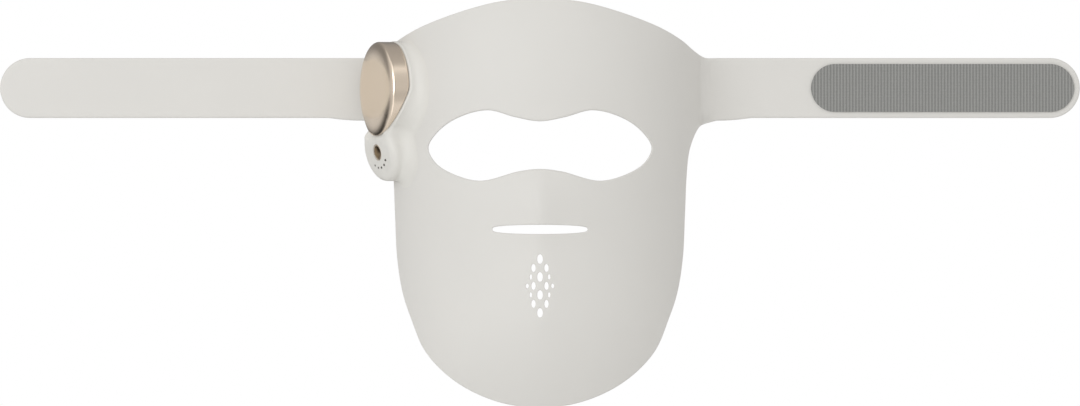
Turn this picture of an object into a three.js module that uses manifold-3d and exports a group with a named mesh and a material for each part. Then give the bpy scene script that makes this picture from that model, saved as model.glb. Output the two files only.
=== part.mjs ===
// Soft face mask with light-emitting diodes, two head straps and a lift-off control unit.
// Millimetres, +Z up, +X to the viewer's right, the face of the mask looks along -Y.
// The origin lies on the centre line, at eye level, in the flat front plane of the straps.

import * as THREE from 'three';
import { mergeVertices } from 'three/addons/utils/BufferGeometryUtils.js';
import Module from 'manifold-3d';

const wasm = await Module();
wasm.setup();

// Mask outline, seen from the front
const half_width = 96;
const brow_height = 88.8;
const chin_drop = 154.6;
const stub_length = 10;
const root_fillet = 5;
const root_flare = 1.6;

// Share of half_width, share of brow_height
const brow_shares = [[0, 1], [0.18, 0.988], [0.334, 0.959], [0.584, 0.878], [0.769, 0.797], [0.897, 0.716],
  [0.951, 0.668]];
// Share of half_width, share of brow_height
const temple_shares = [[0.985, 0.56], [0.988, 0.4], [0.98, 0.22], [0.96, 0.08]];
// Share of half_width, share of chin_drop
const jaw_shares = [[0.931, -0.023], [0.916, -0.116], [0.906, -0.259], [0.892, -0.427], [0.856, -0.563],
  [0.8, -0.666], [0.725, -0.776], [0.606, -0.862], [0.44, -0.934], [0.22, -0.986], [0, -1]];

// Eye opening, one joined opening for both eyes
const eye_half_width = 66.3;
const eye_top = 21.9;
const eye_bottom = 19.8;
// Share of eye_half_width, share of eye_top
const eye_top_shares = [[0, 0.7], [0.22, 0.81], [0.47, 1], [0.74, 0.79], [0.915, 0.42]];
// Share of eye_half_width, share of eye_bottom
const eye_bottom_shares = [[1, 0], [0.945, -0.42], [0.82, -0.73], [0.54, -1], [0.19, -0.72], [0, -0.65]];

// Cross-section: a round front, straight steep flanks and a turn out to the flat straps
const flank_angle = THREE.MathUtils.degToRad(68);
const flank_run = 11.13;
const flank_margin = 0.5;
const turn_radius = 8;

// Profile seen from the side
const brow_bend_start = 30;
const brow_bend_radius = 150;
const brow_bend_fade_start = 60;
const brow_bend_fade_end = 95;
const chin_bend_start = 95;
const chin_bend_radius = 100;

// Nose, and the keel that runs on from it down to the chin
const nose_rise = 6;
const keel_rise = 3;
const ridge_half_width = 20;
const ridge_roundness = 0.35;
const ridge_sharpness = 1.8;
const nose_start = 6;
const nose_full = 36;
const nose_end = 64;
const keel_end = 150;

// Layers, measured square to the outer skin
const shell_wall = 2;
const rim_depth = 6.2;
const rim_width = 2.4;
const rim_round = 1.2;
const layer_gap = 0.4;
const board_thickness = 0.9;
const led_rise = 0.5;
const led_sink = 0.3;
const liner_thickness = 2;
const board_inset = 1.6;
const seam_gap = 0.3;
const straight_wall_reach = 14;

// Light-emitting diodes
const led_length = 3.2;
const led_width = 2.8;
const led_pitch = 21;
const led_row_pitch = 19;
const led_margin = 5;

// Breathing slit and vents
const slit_height_at = -48.6;
const slit_half_length = 28.2;
const slit_half_height = 2.7;
const slit_end_power = 0.6;
const collar_width = 2.2;
const vent_centre_height = -82;
const vent_row_pitch = 10.6;
const vent_reach = 7.5;
const vent_width = 3.3;
const vent_height = 5.6;
// Columns of vents from the centre line outward: share of vent_reach, of vent_width and of vent_height, number
const vent_column_shares = [[0, 1, 1, 4], [0.512, 0.76, 0.84, 3], [0.72, 0.42, 0.55, 2], [1, 0.52, 0.5, 1]];

// Straps
const strap_top = 54;
const strap_width = 36;
const strap_thickness = 3;
const strap_end = 324;
const right_fold = 153;
const hinge_gap = 0.3;
const pad_length = 157.8;
const pad_width = 28.8;
const pad_thickness = 1.2;
const pad_end_margin = 3.6;
const glue_line = 0.1;
const worn_gap = 0.5;

// Control unit; its frame has u forward along the flank, v up and w outward
const unit_radius = 28;
const unit_depth = 12;
const unit_foot_depth = 1.8;
const unit_wall = 1.6;
const unit_shoulder = 2.6;
const unit_round_width = 5.5;
const unit_round_depth = 2.8;
const unit_cover = 1.4;
const unit_seat_on_flank = 0.65;
const unit_drop = 0.9;
const unit_stand_off = 15.4;
const unit_gap = 0.4;
const fit_gap = 0.3;

// Parts inside the control unit
const unit_board_margin = 2.9;
const unit_board_thickness = 1;
const unit_board_foot_share = 0.5;
const battery_length_share = 0.93;
const battery_height_share = 0.535;
const battery_gap = 0.8;
const battery_thickness = 5;
const battery_round = 2;
const magnet_radius = 4;
const magnet_thickness = 1.8;
const magnet_margin = 2.9;
const magnet_height = 4.2;
const contact_block_length = 12;
const contact_block_height = 5;
const contact_block_depth = 3.6;
const contact_block_foot = 1.2;
const contact_pitch = 2.8;
const contact_count = 4;
const pin_radius = 0.6;
const contact_plate_length = 14;
const contact_plate_height = 5.8;
const contact_plate_thickness = 1.2;
const contact_rise = 0.2;

// Base under the control unit, with its lobe
const base_rim = 0.9;
const lobe_radius = 17;
const lobe_hang = 10;
const lobe_step_gap = 1.4;
const lobe_level = 2.3;
const lobe_tilt = THREE.MathUtils.degToRad(7);
const lobe_lean = THREE.MathUtils.degToRad(10);
const lobe_neck_round = 5;
const lobe_wall = 2;
const lobe_pocket_radius = 13.5;

// Button, switch and lights in the lobe
const button_radius = 4.7;
const button_dish = 0.5;
const button_recess = 0.3;
const button_flange_radius = 5.8;
const button_flange_height = 0.9;
const button_stem_radius = 2;
const button_stem_length = 1.6;
const button_travel = 0.8;
const light_count = 5;
const light_ring_radius = 9.4;
const light_radius = 0.65;
const light_first_angle = THREE.MathUtils.degToRad(-124);
const light_step_angle = THREE.MathUtils.degToRad(23.5);
const light_bar_width = 2;
const light_bar_depth = 1.6;
const switch_board_radius = 13.1;
const switch_board_thickness = 1;
const switch_size = 6;
const switch_height = 2.9;
const switch_plunger_radius = 1.5;
const switch_plunger_height = 0.6;

// Flat tail that joins the diode board to the switch board
const tail_width = 8;
const tail_thickness = 0.4;
const tail_slot_margin = 0.6;

// Mesh density and overruns
const cut_overrun = 60;
const probe_step = 0.01;
const outline_samples = 720;
const brow_columns = 11;
const stub_columns = 2;
const jaw_columns = 16;
const skin_rows = 8;
const turn_rows = 3;
const floor_rows = 6;
const row_crowding = 1.35;
const round_sides = 32;
const small_sides = 14;
const ring_arc_steps = 24;
const lobe_arc_steps = 14;
const pin_sides = 6;
const fillet_steps = 4;
const vent_sides = 8;
const slit_steps = 8;

// Values that follow from the sizes
const strap_bottom = strap_top - strap_width;
const strap_centre = (strap_top + strap_bottom) / 2;
const strap_reach = half_width + stub_length;
const flank_end = half_width - flank_margin;
const flank_start = flank_end - flank_run;
const front_radius = flank_start / Math.sin(flank_angle);
const flank_start_sag = front_radius * (1 - Math.cos(flank_angle));
const flank_end_sag = flank_start_sag + (flank_end - flank_start) * Math.tan(flank_angle);
const total_sag = flank_end_sag + turn_radius * (1 - Math.cos(flank_angle));
const board_top = shell_wall + layer_gap;
const board_bottom = board_top + board_thickness;
const liner_top = rim_depth - liner_thickness;
const vent_rows = Math.max(...vent_column_shares.map((shares) => shares[3]));
const wedge_slope = (unit_depth - unit_foot_depth) / unit_radius;
const unit_board_radius = unit_radius - unit_wall - unit_board_margin;
const magnet_offset = unit_radius - unit_wall - magnet_radius - magnet_margin;
const base_radius = unit_radius + base_rim;
const lobe_step = unit_radius + lobe_step_gap;
const lobe_drop = unit_radius + lobe_hang;
const switch_board_level = lobe_wall + fit_gap + button_flange_height + button_stem_length + button_travel
  + fit_gap + switch_plunger_height + switch_height + fit_gap;

const smooth_between = (start, end, value) => THREE.MathUtils.smoothstep(value, start, end);

// Sag of the cross-section: circle, then straight flank, then a hollow turn that ends flat
function cross_section_sag(x) {
  const side = Math.abs(x);
  if (side <= flank_start) {
    return front_radius - Math.sqrt(front_radius ** 2 - side ** 2);
  }
  if (side <= flank_end) {
    return flank_start_sag + (side - flank_start) * Math.tan(flank_angle);
  }
  const sine = Math.max(0, Math.sin(flank_angle) - (side - flank_end) / turn_radius);
  return flank_end_sag + turn_radius * (Math.sqrt(1 - sine ** 2) - Math.cos(flank_angle));
}

// Parabola that bends the profile back past a given height
const bend_past = (distance, radius) => Math.max(0, distance) ** 2 / (2 * radius);

// Gable with a rounded crest that dies out towards the cheeks
function ridge(x, z) {
  const reach = Math.sqrt((x / ridge_half_width) ** 2 + ridge_roundness ** 2) - ridge_roundness;
  const drop = -z;
  const nose = nose_rise * smooth_between(nose_start, nose_full, drop)
    * (1 - smooth_between(nose_full, nose_end, drop));
  const keel = keel_rise * smooth_between(nose_full, nose_end, drop)
    * (1 - smooth_between(nose_end, keel_end, drop));
  return (nose + keel) * Math.exp(-ridge_sharpness * reach);
}

// Depth of the outer skin, y as a function of x and z
function skin_depth(x, z) {
  const fade = 1 - smooth_between(brow_bend_fade_start, brow_bend_fade_end, Math.abs(x));
  const brow = fade * bend_past(z - brow_bend_start, brow_bend_radius);
  const chin = bend_past(-z - chin_bend_start, chin_bend_radius);
  return cross_section_sag(x) - total_sag + brow + chin - ridge(x, z);
}

// Unit vector from the skin towards the face
function skin_normal(x, z) {
  const slope_x = (skin_depth(x + probe_step, z) - skin_depth(x - probe_step, z)) / (2 * probe_step);
  const slope_z = (skin_depth(x, z + probe_step) - skin_depth(x, z - probe_step)) / (2 * probe_step);
  return new THREE.Vector3(-slope_x, 1, -slope_z).normalize();
}

// Point at a given depth below the outer skin. The depth is laid off square to the skin, or straight back along
// Y by as much as keeps the thickness; straight_back is the share of the latter.
function skin_point(x, z, depth, straight_back = 0) {
  const normal = skin_normal(x, z);
  const back = new THREE.Vector3(0, 1 / normal.y, 0);
  return new THREE.Vector3(x, skin_depth(x, z), z).addScaledVector(normal.lerp(back, straight_back), depth);
}

const scale_shares = (shares, width, height) => shares.map(
  ([a, b]) => new THREE.Vector3(a * width, 0, b * height),
);

const spline = (points, closed = false) => new THREE.CatmullRomCurve3(points, closed, 'centripetal');

// Mirror of a half outline that runs from the top centre to the bottom centre
function close_by_mirror(half) {
  const mirrored = half.slice(1, -1).reverse().map((p) => new THREE.Vector3(-p.x, p.y, p.z));
  return half.concat(mirrored);
}

const polar_angle = (p) => Math.atan2(p.z, p.x);

// Radius of a closed outline in any direction from the origin
function polar_radius(outline) {
  const samples = spline(outline, true).getPoints(outline_samples);
  const table = samples.map((p) => [polar_angle(p), Math.hypot(p.x, p.z)]).sort((a, b) => a[0] - b[0]);
  const first = table[0];
  const last = table[table.length - 1];
  table.unshift([last[0] - 2 * Math.PI, last[1]]);
  table.push([first[0] + 2 * Math.PI, first[1]]);
  return (angle) => {
    const index = Math.max(1, table.findIndex((entry) => entry[0] >= angle));
    const [angle_a, radius_a] = table[index - 1];
    const [angle_b, radius_b] = table[index];
    const share = angle_b > angle_a ? (angle - angle_a) / (angle_b - angle_a) : 0;
    return radius_a + share * (radius_b - radius_a);
  };
}

const brow_points = scale_shares(brow_shares, half_width, brow_height);
const temple_points = scale_shares(temple_shares, half_width, brow_height);
const jaw_points = scale_shares(jaw_shares, half_width, chin_drop);
const eye_points = scale_shares(eye_top_shares, eye_half_width, eye_top)
  .concat(scale_shares(eye_bottom_shares, eye_half_width, eye_bottom));

const body_radius = polar_radius(close_by_mirror([...brow_points, ...temple_points, ...jaw_points]));
const eye_radius = polar_radius(close_by_mirror(eye_points));

// Right half of the outline with the stub that the strap grows from
function half_outline() {
  const flare_bottom = strap_bottom - root_flare;
  const brow_curve = spline([
    ...brow_points,
    new THREE.Vector3(half_width, 0, strap_top + root_fillet * 0.4),
    new THREE.Vector3(half_width + root_fillet * 0.8, 0, strap_top),
    new THREE.Vector3(strap_reach, 0, strap_top),
  ]);
  const jaw_curve = spline([
    new THREE.Vector3(strap_reach, 0, flare_bottom),
    new THREE.Vector3(half_width + root_fillet, 0, flare_bottom - root_fillet * 0.28),
    new THREE.Vector3(half_width + root_fillet * 0.2, 0, flare_bottom - root_fillet * 0.62),
    new THREE.Vector3(half_width - root_fillet * 0.3, 0, flare_bottom - root_fillet * 1.2),
    new THREE.Vector3(half_width - root_fillet * 0.9, 0, flare_bottom - root_fillet * 2.5),
    ...jaw_points,
  ]);
  const stub = new THREE.LineCurve3(
    new THREE.Vector3(strap_reach, 0, strap_top),
    new THREE.Vector3(strap_reach, 0, flare_bottom),
  );
  return [
    ...brow_curve.getPoints(brow_columns).slice(0, -1),
    ...stub.getPoints(stub_columns).slice(0, -1),
    ...jaw_curve.getPoints(jaw_columns),
  ];
}

// One column of the mask runs from the eye opening out to the outline
const columns = close_by_mirror(half_outline()).map((p) => {
  const angle = polar_angle(p);
  const reach = Math.hypot(p.x, p.z);
  const on_strap = smooth_between(half_width - root_fillet, half_width, Math.abs(p.x));
  return {
    angle,
    outer: reach,
    inner: eye_radius(angle),
    body: Math.min(body_radius(angle), reach),
    on_strap,
  };
});

// Steps from a to b, both ends included; a crowding above 1 draws them towards a
const steps_between = (a, b, count, crowding = 1) => Array.from(
  { length: count + 1 },
  (_, i) => a + (b - a) * (i / count) ** crowding,
);

// Closed body swept round the eye opening: every column gives one loop of [distance, depth] pairs.
// At the opening all walls run straight back, so that they don't narrow the view.
// Each cell is split along the same diagonal whichever way its loop runs, so that facing layers stay parallel.
function ring_body(loop_of) {
  const loops = columns.map(loop_of);
  const size = loops[0].length;
  const positions = loops.flatMap((loop, c) => loop.flatMap(([distance, depth]) => {
    const { angle, inner } = columns[c];
    const straight_back = 1 - smooth_between(rim_width, straight_wall_reach, distance - inner);
    return skin_point(distance * Math.cos(angle), distance * Math.sin(angle), depth, straight_back).toArray();
  }));
  const index = [];
  loops.forEach((loop, c) => {
    const next = (c + 1) % loops.length;
    for (let k = 0; k < size; k += 1) {
      const after = (k + 1) % size;
      const a = c * size + k;
      const b = c * size + after;
      const d = next * size + k;
      const e = next * size + after;
      if (loop[after][0] > loop[k][0]) {
        index.push(a, d, b, b, d, e);
      } else {
        index.push(a, d, e, a, e, b);
      }
    }
  });
  const geometry = new THREE.BufferGeometry();
  geometry.setAttribute('position', new THREE.Float32BufferAttribute(positions, 3));
  geometry.setIndex(index);
  return geometry;
}

function to_solid(geometry) {
  const clean = geometry.clone();
  clean.deleteAttribute('normal');
  clean.deleteAttribute('uv');
  const merged = mergeVertices(clean);
  return new wasm.Manifold(new wasm.Mesh({
    numProp: 3,
    vertProperties: new Float32Array(merged.attributes.position.array),
    triVerts: new Uint32Array(merged.index.array),
  }));
}

function to_geometry(solid) {
  const mesh = solid.getMesh();
  const geometry = new THREE.BufferGeometry();
  geometry.setAttribute('position', new THREE.BufferAttribute(new Float32Array(mesh.vertProperties), 3));
  geometry.setIndex(new THREE.BufferAttribute(new Uint32Array(mesh.triVerts), 1));
  return geometry;
}

const cut = (body, ...tools) => to_geometry(tools.reduce((s, t) => s.subtract(to_solid(t)), to_solid(body)));
const join = (body, ...extras) => to_geometry(extras.reduce((s, t) => s.add(to_solid(t)), to_solid(body)));
const common = (body, ...tools) => to_geometry(tools.reduce((s, t) => s.intersect(to_solid(t)), to_solid(body)));

// Distances across the outer skin: closer together near the eyes and the nose, and again past the pocket
function skin_steps(column) {
  const pocket = column.body - rim_width;
  return [
    ...steps_between(column.inner + rim_round, pocket, skin_rows, row_crowding),
    ...steps_between(pocket, column.outer - rim_round, turn_rows).slice(1),
  ];
}

// Distances across the pocket of the shell: both rims, and even steps between the two edges of the board
function pocket_steps(column) {
  const near = column.inner + rim_width;
  const far = column.body - rim_width;
  return [near, ...steps_between(near + board_inset, far - board_inset, floor_rows, row_crowding), far];
}

// Loop of a layer of even thickness over the given distances
function layer_loop(outward, top, bottom) {
  return [
    ...outward.map((q) => [q, top]),
    ...[...outward].reverse().map((q) => [q, bottom]),
  ];
}

// Prism along Y from an outline in x and z
function prism_through(outline) {
  const shape = new THREE.Shape(outline.map((p) => new THREE.Vector2(p.x, p.z)));
  const depth = total_sag + 2 * cut_overrun;
  return new THREE.ExtrudeGeometry(shape, { depth, bevelEnabled: false })
    .rotateX(Math.PI / 2)
    .translate(0, cut_overrun, 0);
}

// Lens outline with blunt ends, grown by a margin
function slit_outline(margin) {
  const length = slit_half_length + margin;
  const upper = steps_between(0, Math.PI, slit_steps).map((angle) => {
    const x = length * Math.cos(angle);
    const height = (slit_half_height + margin) * Math.sin(angle) ** slit_end_power;
    return new THREE.Vector3(x, 0, height);
  });
  const lower = upper.slice(1, -1).reverse().map((p) => new THREE.Vector3(p.x, 0, -p.z));
  return upper.concat(lower).map((p) => p.setZ(p.z + slit_height_at));
}

function oval_outline(x, z, width, height, sides) {
  return Array.from({ length: sides }, (_, i) => {
    const angle = 2 * Math.PI * (i + 0.5) / sides;
    return new THREE.Vector3(x + width / 2 * Math.cos(angle), 0, z + height / 2 * Math.sin(angle));
  });
}

// Vents in upright columns; each column is centred on the cluster and shorter than the one inside it
function vent_outlines() {
  return vent_column_shares.flatMap(([reach, width, height, count]) => {
    const sides = reach > 0 ? [-1, 1] : [1];
    return sides.flatMap((side) => Array.from({ length: count }, (_, row) => oval_outline(
      side * reach * vent_reach,
      vent_centre_height + (row - (count - 1) / 2) * vent_row_pitch,
      width * vent_width,
      height * vent_height,
      vent_sides,
    )));
  });
}

// Window round the whole vent cluster, grown by a margin
function cluster_outline(margin) {
  const half_wide = vent_reach + vent_width / 4 + margin;
  const half_tall = (vent_rows - 1) / 2 * vent_row_pitch + vent_height / 2 + margin;
  return oval_outline(0, vent_centre_height, 2 * half_wide, 2 * half_tall, small_sides);
}

// Frame of the control unit: u forward along the flank, v up, w outward
const unit_face_height = strap_centre - unit_drop;
const unit_seat_x = -(flank_start + unit_seat_on_flank);
const unit_seat_y = skin_depth(unit_seat_x, unit_face_height);
const unit_face_x = unit_seat_x - unit_stand_off * Math.sin(flank_angle);
const unit_face_y = unit_seat_y - unit_stand_off * Math.cos(flank_angle);
const unit_matrix = new THREE.Matrix4()
  .makeRotationZ(-flank_angle)
  .multiply(new THREE.Matrix4().makeRotationX(Math.PI / 2))
  .setPosition(unit_face_x, unit_face_y, unit_face_height);
const to_unit_frame = unit_matrix.clone().invert();
const lobe_matrix = new THREE.Matrix4()
  .makeRotationY(lobe_tilt)
  .multiply(new THREE.Matrix4().makeRotationX(lobe_lean))
  .setPosition(0, -lobe_drop, -lobe_level);

// Box given by its lowest corner and its highest corner
function box_between(u0, u1, v0, v1, w0, w1) {
  return new THREE.BoxGeometry(u1 - u0, v1 - v0, w1 - w0)
    .translate((u0 + u1) / 2, (v0 + v1) / 2, (w0 + w1) / 2);
}

// Disc round the w axis
function disc(radius, low, high, sides, u = 0, v = 0) {
  return new THREE.CylinderGeometry(radius, radius, high - low, sides)
    .rotateX(Math.PI / 2)
    .translate(u, v, (low + high) / 2);
}

// Turned body round the w axis from [radius, w] pairs
function turned(profile, sides) {
  const points = profile.map(([r, w]) => new THREE.Vector2(r, w));
  return new THREE.LatheGeometry(points, sides).rotateX(Math.PI / 2);
}

// Prism along u from an outline in v and w
function prism_across(outline, half_length) {
  const shape = new THREE.Shape(outline.map(([v, w]) => new THREE.Vector2(v, w)));
  const turn = new THREE.Matrix4().makeBasis(
    new THREE.Vector3(0, 1, 0),
    new THREE.Vector3(0, 0, 1),
    new THREE.Vector3(1, 0, 0),
  );
  return new THREE.ExtrudeGeometry(shape, { depth: 2 * half_length, bevelEnabled: false })
    .translate(0, 0, -half_length)
    .applyMatrix4(turn);
}

// Rear line of the control unit: flat above its middle, rising towards its foot
const unit_rear = (v) => -unit_depth + wedge_slope * Math.max(0, -v);

const shell = make_shell();
const flex_board = make_flex_board();
const liner = make_liner();

// Tray with a deep rim round the edge and round the eyes, solid where the straps grow out of it
function make_shell() {
  const body = ring_body((column) => {
    const depth_at_edge = THREE.MathUtils.lerp(rim_depth, strap_thickness, column.on_strap);
    const pocket = column.body - rim_width;
    const shoulder = Math.min(rim_width / 4 + root_fillet * column.on_strap, column.outer - pocket - rim_round);
    return [
      ...skin_steps(column).map((q) => [q, 0]),
      [column.outer, rim_round],
      [column.outer, depth_at_edge - rim_round],
      [column.outer - rim_round, depth_at_edge],
      [pocket + shoulder, depth_at_edge],
      [pocket, rim_depth],
      ...pocket_steps(column).reverse().map((q) => [q, shell_wall]),
      [column.inner + rim_width, rim_depth],
      [column.inner + rim_round, rim_depth],
      [column.inner, rim_depth - rim_round],
      [column.inner, rim_round],
    ];
  });
  const filling = ring_body((column) => layer_loop(pocket_steps(column), shell_wall / 2, rim_depth));
  const slit_collar = common(filling, prism_through(slit_outline(collar_width)));
  const vent_collar = common(filling, prism_through(cluster_outline(collar_width)));
  const openings = [slit_outline(0), ...vent_outlines()].map(prism_through);
  return cut(join(body, slit_collar, vent_collar), ...openings, tail_slot().applyMatrix4(unit_matrix));
}

// Slot in the wall of the shell for the flat tail
function tail_slot() {
  const half_height = tail_width / 2 + tail_slot_margin;
  const half_thickness = tail_thickness / 2 + tail_slot_margin;
  return box_between(
    -half_thickness,
    half_thickness,
    -lobe_drop - half_height,
    -lobe_drop + half_height,
    -unit_stand_off - rim_depth / 2,
    -unit_stand_off + rim_depth / 2,
  );
}

// Windows in the inner layers round the collars of the slit and of the vents
function layer_windows() {
  const margin = collar_width + layer_gap;
  return [slit_outline(margin), cluster_outline(margin)].map(prism_through);
}

// Places of the diodes in staggered rows, clear of every edge and window
function led_places() {
  const places = [];
  const half_rows = Math.ceil(chin_drop / led_row_pitch);
  const half_count = Math.ceil(half_width * Math.PI / 2 / led_pitch);
  for (let row = -half_rows; row <= half_rows; row += 1) {
    const stagger = row % 2 === 0 ? 0 : 0.5;
    for (let step = -half_count; step <= half_count; step += 1) {
      const arc = (step + stagger) * led_pitch;
      const x = arc_to_x(arc);
      const z = row * led_row_pitch;
      if (led_fits(x, z)) {
        places.push([x, z]);
      }
    }
  }
  return places;
}

// Sideways distance reached after a given length along the cross-section
function arc_to_x(arc) {
  const length = Math.abs(arc);
  const round_length = front_radius * flank_angle;
  const x = length <= round_length
    ? front_radius * Math.sin(length / front_radius)
    : flank_start + (length - round_length) * Math.cos(flank_angle);
  return Math.sign(arc) * x;
}

function led_fits(x, z) {
  const angle = Math.atan2(z, x);
  const reach = Math.hypot(x, z);
  const clear_of_eye = reach > eye_radius(angle) + rim_width + led_margin;
  const clear_of_edge = reach < body_radius(angle) - rim_width - led_margin * Math.cos(flank_angle);
  const window_margin = collar_width + led_margin;
  const near_slit = Math.abs(x) < slit_half_length + window_margin
    && Math.abs(z - slit_height_at) < slit_half_height + window_margin;
  const cluster_half = vent_rows / 2 * vent_row_pitch;
  const near_vents = Math.abs(x) < vent_row_pitch + window_margin
    && Math.abs(z - vent_centre_height) < cluster_half + window_margin;
  return clear_of_eye && clear_of_edge && !near_slit && !near_vents;
}

// Small chip that lies square on the facet of the board, looked up from the side of the face
function led_chip(board_mesh, x, z) {
  const behind = skin_point(x, z, board_bottom + cut_overrun / 4);
  const looking = new THREE.Raycaster(behind, skin_normal(x, z).negate());
  const [hit] = looking.intersectObject(board_mesh);
  const inward = hit.face.normal;
  const up = new THREE.Vector3(0, 0, 1).addScaledVector(inward, -inward.z).normalize();
  const across = new THREE.Vector3().crossVectors(up, inward);
  const centre = hit.point.clone().addScaledVector(inward, (led_rise - led_sink) / 2);
  const place = new THREE.Matrix4().makeBasis(across, up, inward).setPosition(centre);
  return new THREE.BoxGeometry(led_length, led_width, led_rise + led_sink).applyMatrix4(place);
}

// Flexible board that follows the inside of the shell, with its diodes on the side of the face
function make_flex_board() {
  const board = ring_body((column) => layer_loop(pocket_steps(column).slice(1, -1), board_top, board_bottom));
  const board_mesh = new THREE.Mesh(board);
  const chips = led_places().map(([x, z]) => led_chip(board_mesh, x, z));
  return join(cut(board, ...layer_windows()), ...chips);
}

// Clear liner against the face, let into the rim of the shell
function make_liner() {
  const liner_body = ring_body((column) => {
    const [near, ...rest] = pocket_steps(column);
    const far = rest.pop();
    return layer_loop([near + seam_gap, ...rest, far - seam_gap], liner_top, rim_depth);
  });
  return cut(liner_body, ...layer_windows());
}

// Strap length lying flat between two distances; a round end where it is the last one
function strap_plate(from, to, rounded) {
  const radius = strap_width / 2;
  const shape = new THREE.Shape();
  shape.moveTo(from, strap_bottom);
  if (rounded) {
    shape.lineTo(to - radius, strap_bottom);
    shape.absarc(to - radius, strap_centre, radius, -Math.PI / 2, Math.PI / 2, false);
  } else {
    shape.lineTo(to, strap_bottom);
    shape.lineTo(to, strap_top);
  }
  shape.lineTo(from, strap_top);
  shape.closePath();
  return lay_flat(shape, strap_thickness, 0);
}

// Shape in x and z given a thickness backwards from a front plane
function lay_flat(shape, thickness, front) {
  const curveSegments = small_sides / 2;
  return new THREE.ExtrudeGeometry(shape, { depth: thickness, bevelEnabled: false, curveSegments })
    .rotateX(Math.PI / 2)
    .translate(0, thickness + front, 0);
}

// First strap length widens a little towards the mask
function strap_root_plate(to) {
  const shape = new THREE.Shape();
  const from = strap_reach + hinge_gap;
  shape.moveTo(from, strap_bottom - root_flare);
  shape.quadraticCurveTo(from + 2 * root_fillet, strap_bottom - root_flare, from + 4 * root_fillet, strap_bottom);
  shape.lineTo(to, strap_bottom);
  shape.lineTo(to, strap_top);
  shape.lineTo(from, strap_top);
  shape.closePath();
  return lay_flat(shape, strap_thickness, 0);
}

// Pad with fully round ends
function pad_plate(front) {
  const radius = pad_width / 2;
  const far = strap_end - pad_end_margin - radius;
  const near = strap_end - pad_end_margin - pad_length + radius;
  const shape = new THREE.Shape();
  shape.absarc(far, strap_centre, radius, -Math.PI / 2, Math.PI / 2, false);
  shape.absarc(near, strap_centre, radius, Math.PI / 2, 3 * Math.PI / 2, false);
  return lay_flat(shape, pad_thickness, front);
}

// Mirrors a closed geometry in x and keeps its faces outward
function mirrored(geometry) {
  const flat = geometry.index ? geometry.toNonIndexed() : geometry.clone();
  flat.scale(-1, 1, 1);
  const array = flat.attributes.position.array;
  for (let i = 0; i < array.length; i += 9) {
    for (let k = 0; k < 3; k += 1) {
      const kept = array[i + 3 + k];
      array[i + 3 + k] = array[i + 6 + k];
      array[i + 6 + k] = kept;
    }
  }
  return flat;
}

// The left strap folds further out, so that its end lies outside the right one behind the head
const left_fold = right_fold + strap_thickness + 2 * (pad_thickness + glue_line) + worn_gap;

// Cup of the control unit: flat face, round rim and side wall, cut off along the rear line
function make_unit_housing() {
  const inner_radius = unit_radius - unit_wall;
  const deep = unit_depth + fit_gap;
  const rim = steps_between(Math.PI / 2, 0, fillet_steps).map((angle) => [
    unit_radius - unit_round_width + unit_round_width * Math.cos(angle),
    -unit_round_depth + unit_round_depth * Math.sin(angle),
  ]);
  const cup = turned([
    [0, -unit_wall],
    [inner_radius - unit_shoulder, -unit_wall],
    [inner_radius, -unit_wall - unit_shoulder],
    [inner_radius, -deep],
    [unit_radius, -deep],
    ...rim.reverse(),
    [0, 0],
  ], round_sides);
  return cut(cup, behind_rear_line(0));
}

// Everything behind the rear line, moved outward by a shift
function behind_rear_line(shift) {
  const far = unit_radius + cut_overrun;
  return prism_across([
    [far, -unit_depth + shift],
    [0, -unit_depth + shift],
    [-far, unit_rear(-far) + shift],
    [-far, -unit_depth - cut_overrun],
    [far, -unit_depth - cut_overrun],
  ], far);
}

// Cover that closes the cup along the rear line, with holes for the pins
function make_unit_cover() {
  const radius = unit_radius - unit_wall - fit_gap;
  const plate = prism_across([
    [radius, -unit_depth],
    [0, -unit_depth],
    [-radius, unit_rear(-radius)],
    [-radius, unit_rear(-radius) + unit_cover],
    [0, -unit_depth + unit_cover],
    [radius, -unit_depth + unit_cover],
  ], radius);
  const cavity = turned([
    [0, -unit_depth - cut_overrun],
    [radius, -unit_depth - cut_overrun],
    [radius, -unit_wall - unit_shoulder - fit_gap],
    [radius - unit_shoulder, -unit_wall - fit_gap],
    [0, -unit_wall - fit_gap],
  ], round_sides);
  const round_plate = common(plate, cavity);
  const holes = contact_places().map(([u, v]) => disc(
    pin_radius + fit_gap,
    -unit_depth - unit_cover,
    -unit_depth + 2 * unit_cover,
    pin_sides,
    u,
    v,
  ));
  return cut(round_plate, ...holes);
}

function contact_places() {
  const v = contact_block_foot + contact_block_height / 2;
  return Array.from({ length: contact_count }, (_, i) => [(i - (contact_count - 1) / 2) * contact_pitch, v]);
}

function make_unit_board() {
  const foot_angle = Math.asin(unit_board_foot_share * unit_radius / unit_board_radius);
  const shape = new THREE.Shape();
  shape.absarc(0, 0, unit_board_radius, -foot_angle, Math.PI + foot_angle, false);
  shape.closePath();
  const top = -unit_wall - fit_gap;
  return new THREE.ExtrudeGeometry(shape, {
    depth: unit_board_thickness,
    bevelEnabled: false,
    curveSegments: round_sides / 2,
  }).translate(0, 0, top - unit_board_thickness);
}

function make_battery() {
  const shape = new THREE.Shape();
  const half = battery_length_share * unit_radius / 2 - battery_round;
  const foot = contact_block_foot + contact_block_height + battery_gap;
  const low = foot + battery_round;
  const high = foot + battery_height_share * unit_radius - battery_round;
  shape.absarc(half, high, battery_round, 0, Math.PI / 2, false);
  shape.absarc(-half, high, battery_round, Math.PI / 2, Math.PI, false);
  shape.absarc(-half, low, battery_round, Math.PI, 3 * Math.PI / 2, false);
  shape.absarc(half, low, battery_round, -Math.PI / 2, 0, false);
  const top = -unit_wall - 2 * fit_gap - unit_board_thickness;
  return new THREE.ExtrudeGeometry(shape, { depth: battery_thickness, bevelEnabled: false, curveSegments: 3 })
    .translate(0, 0, top - battery_thickness);
}

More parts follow.
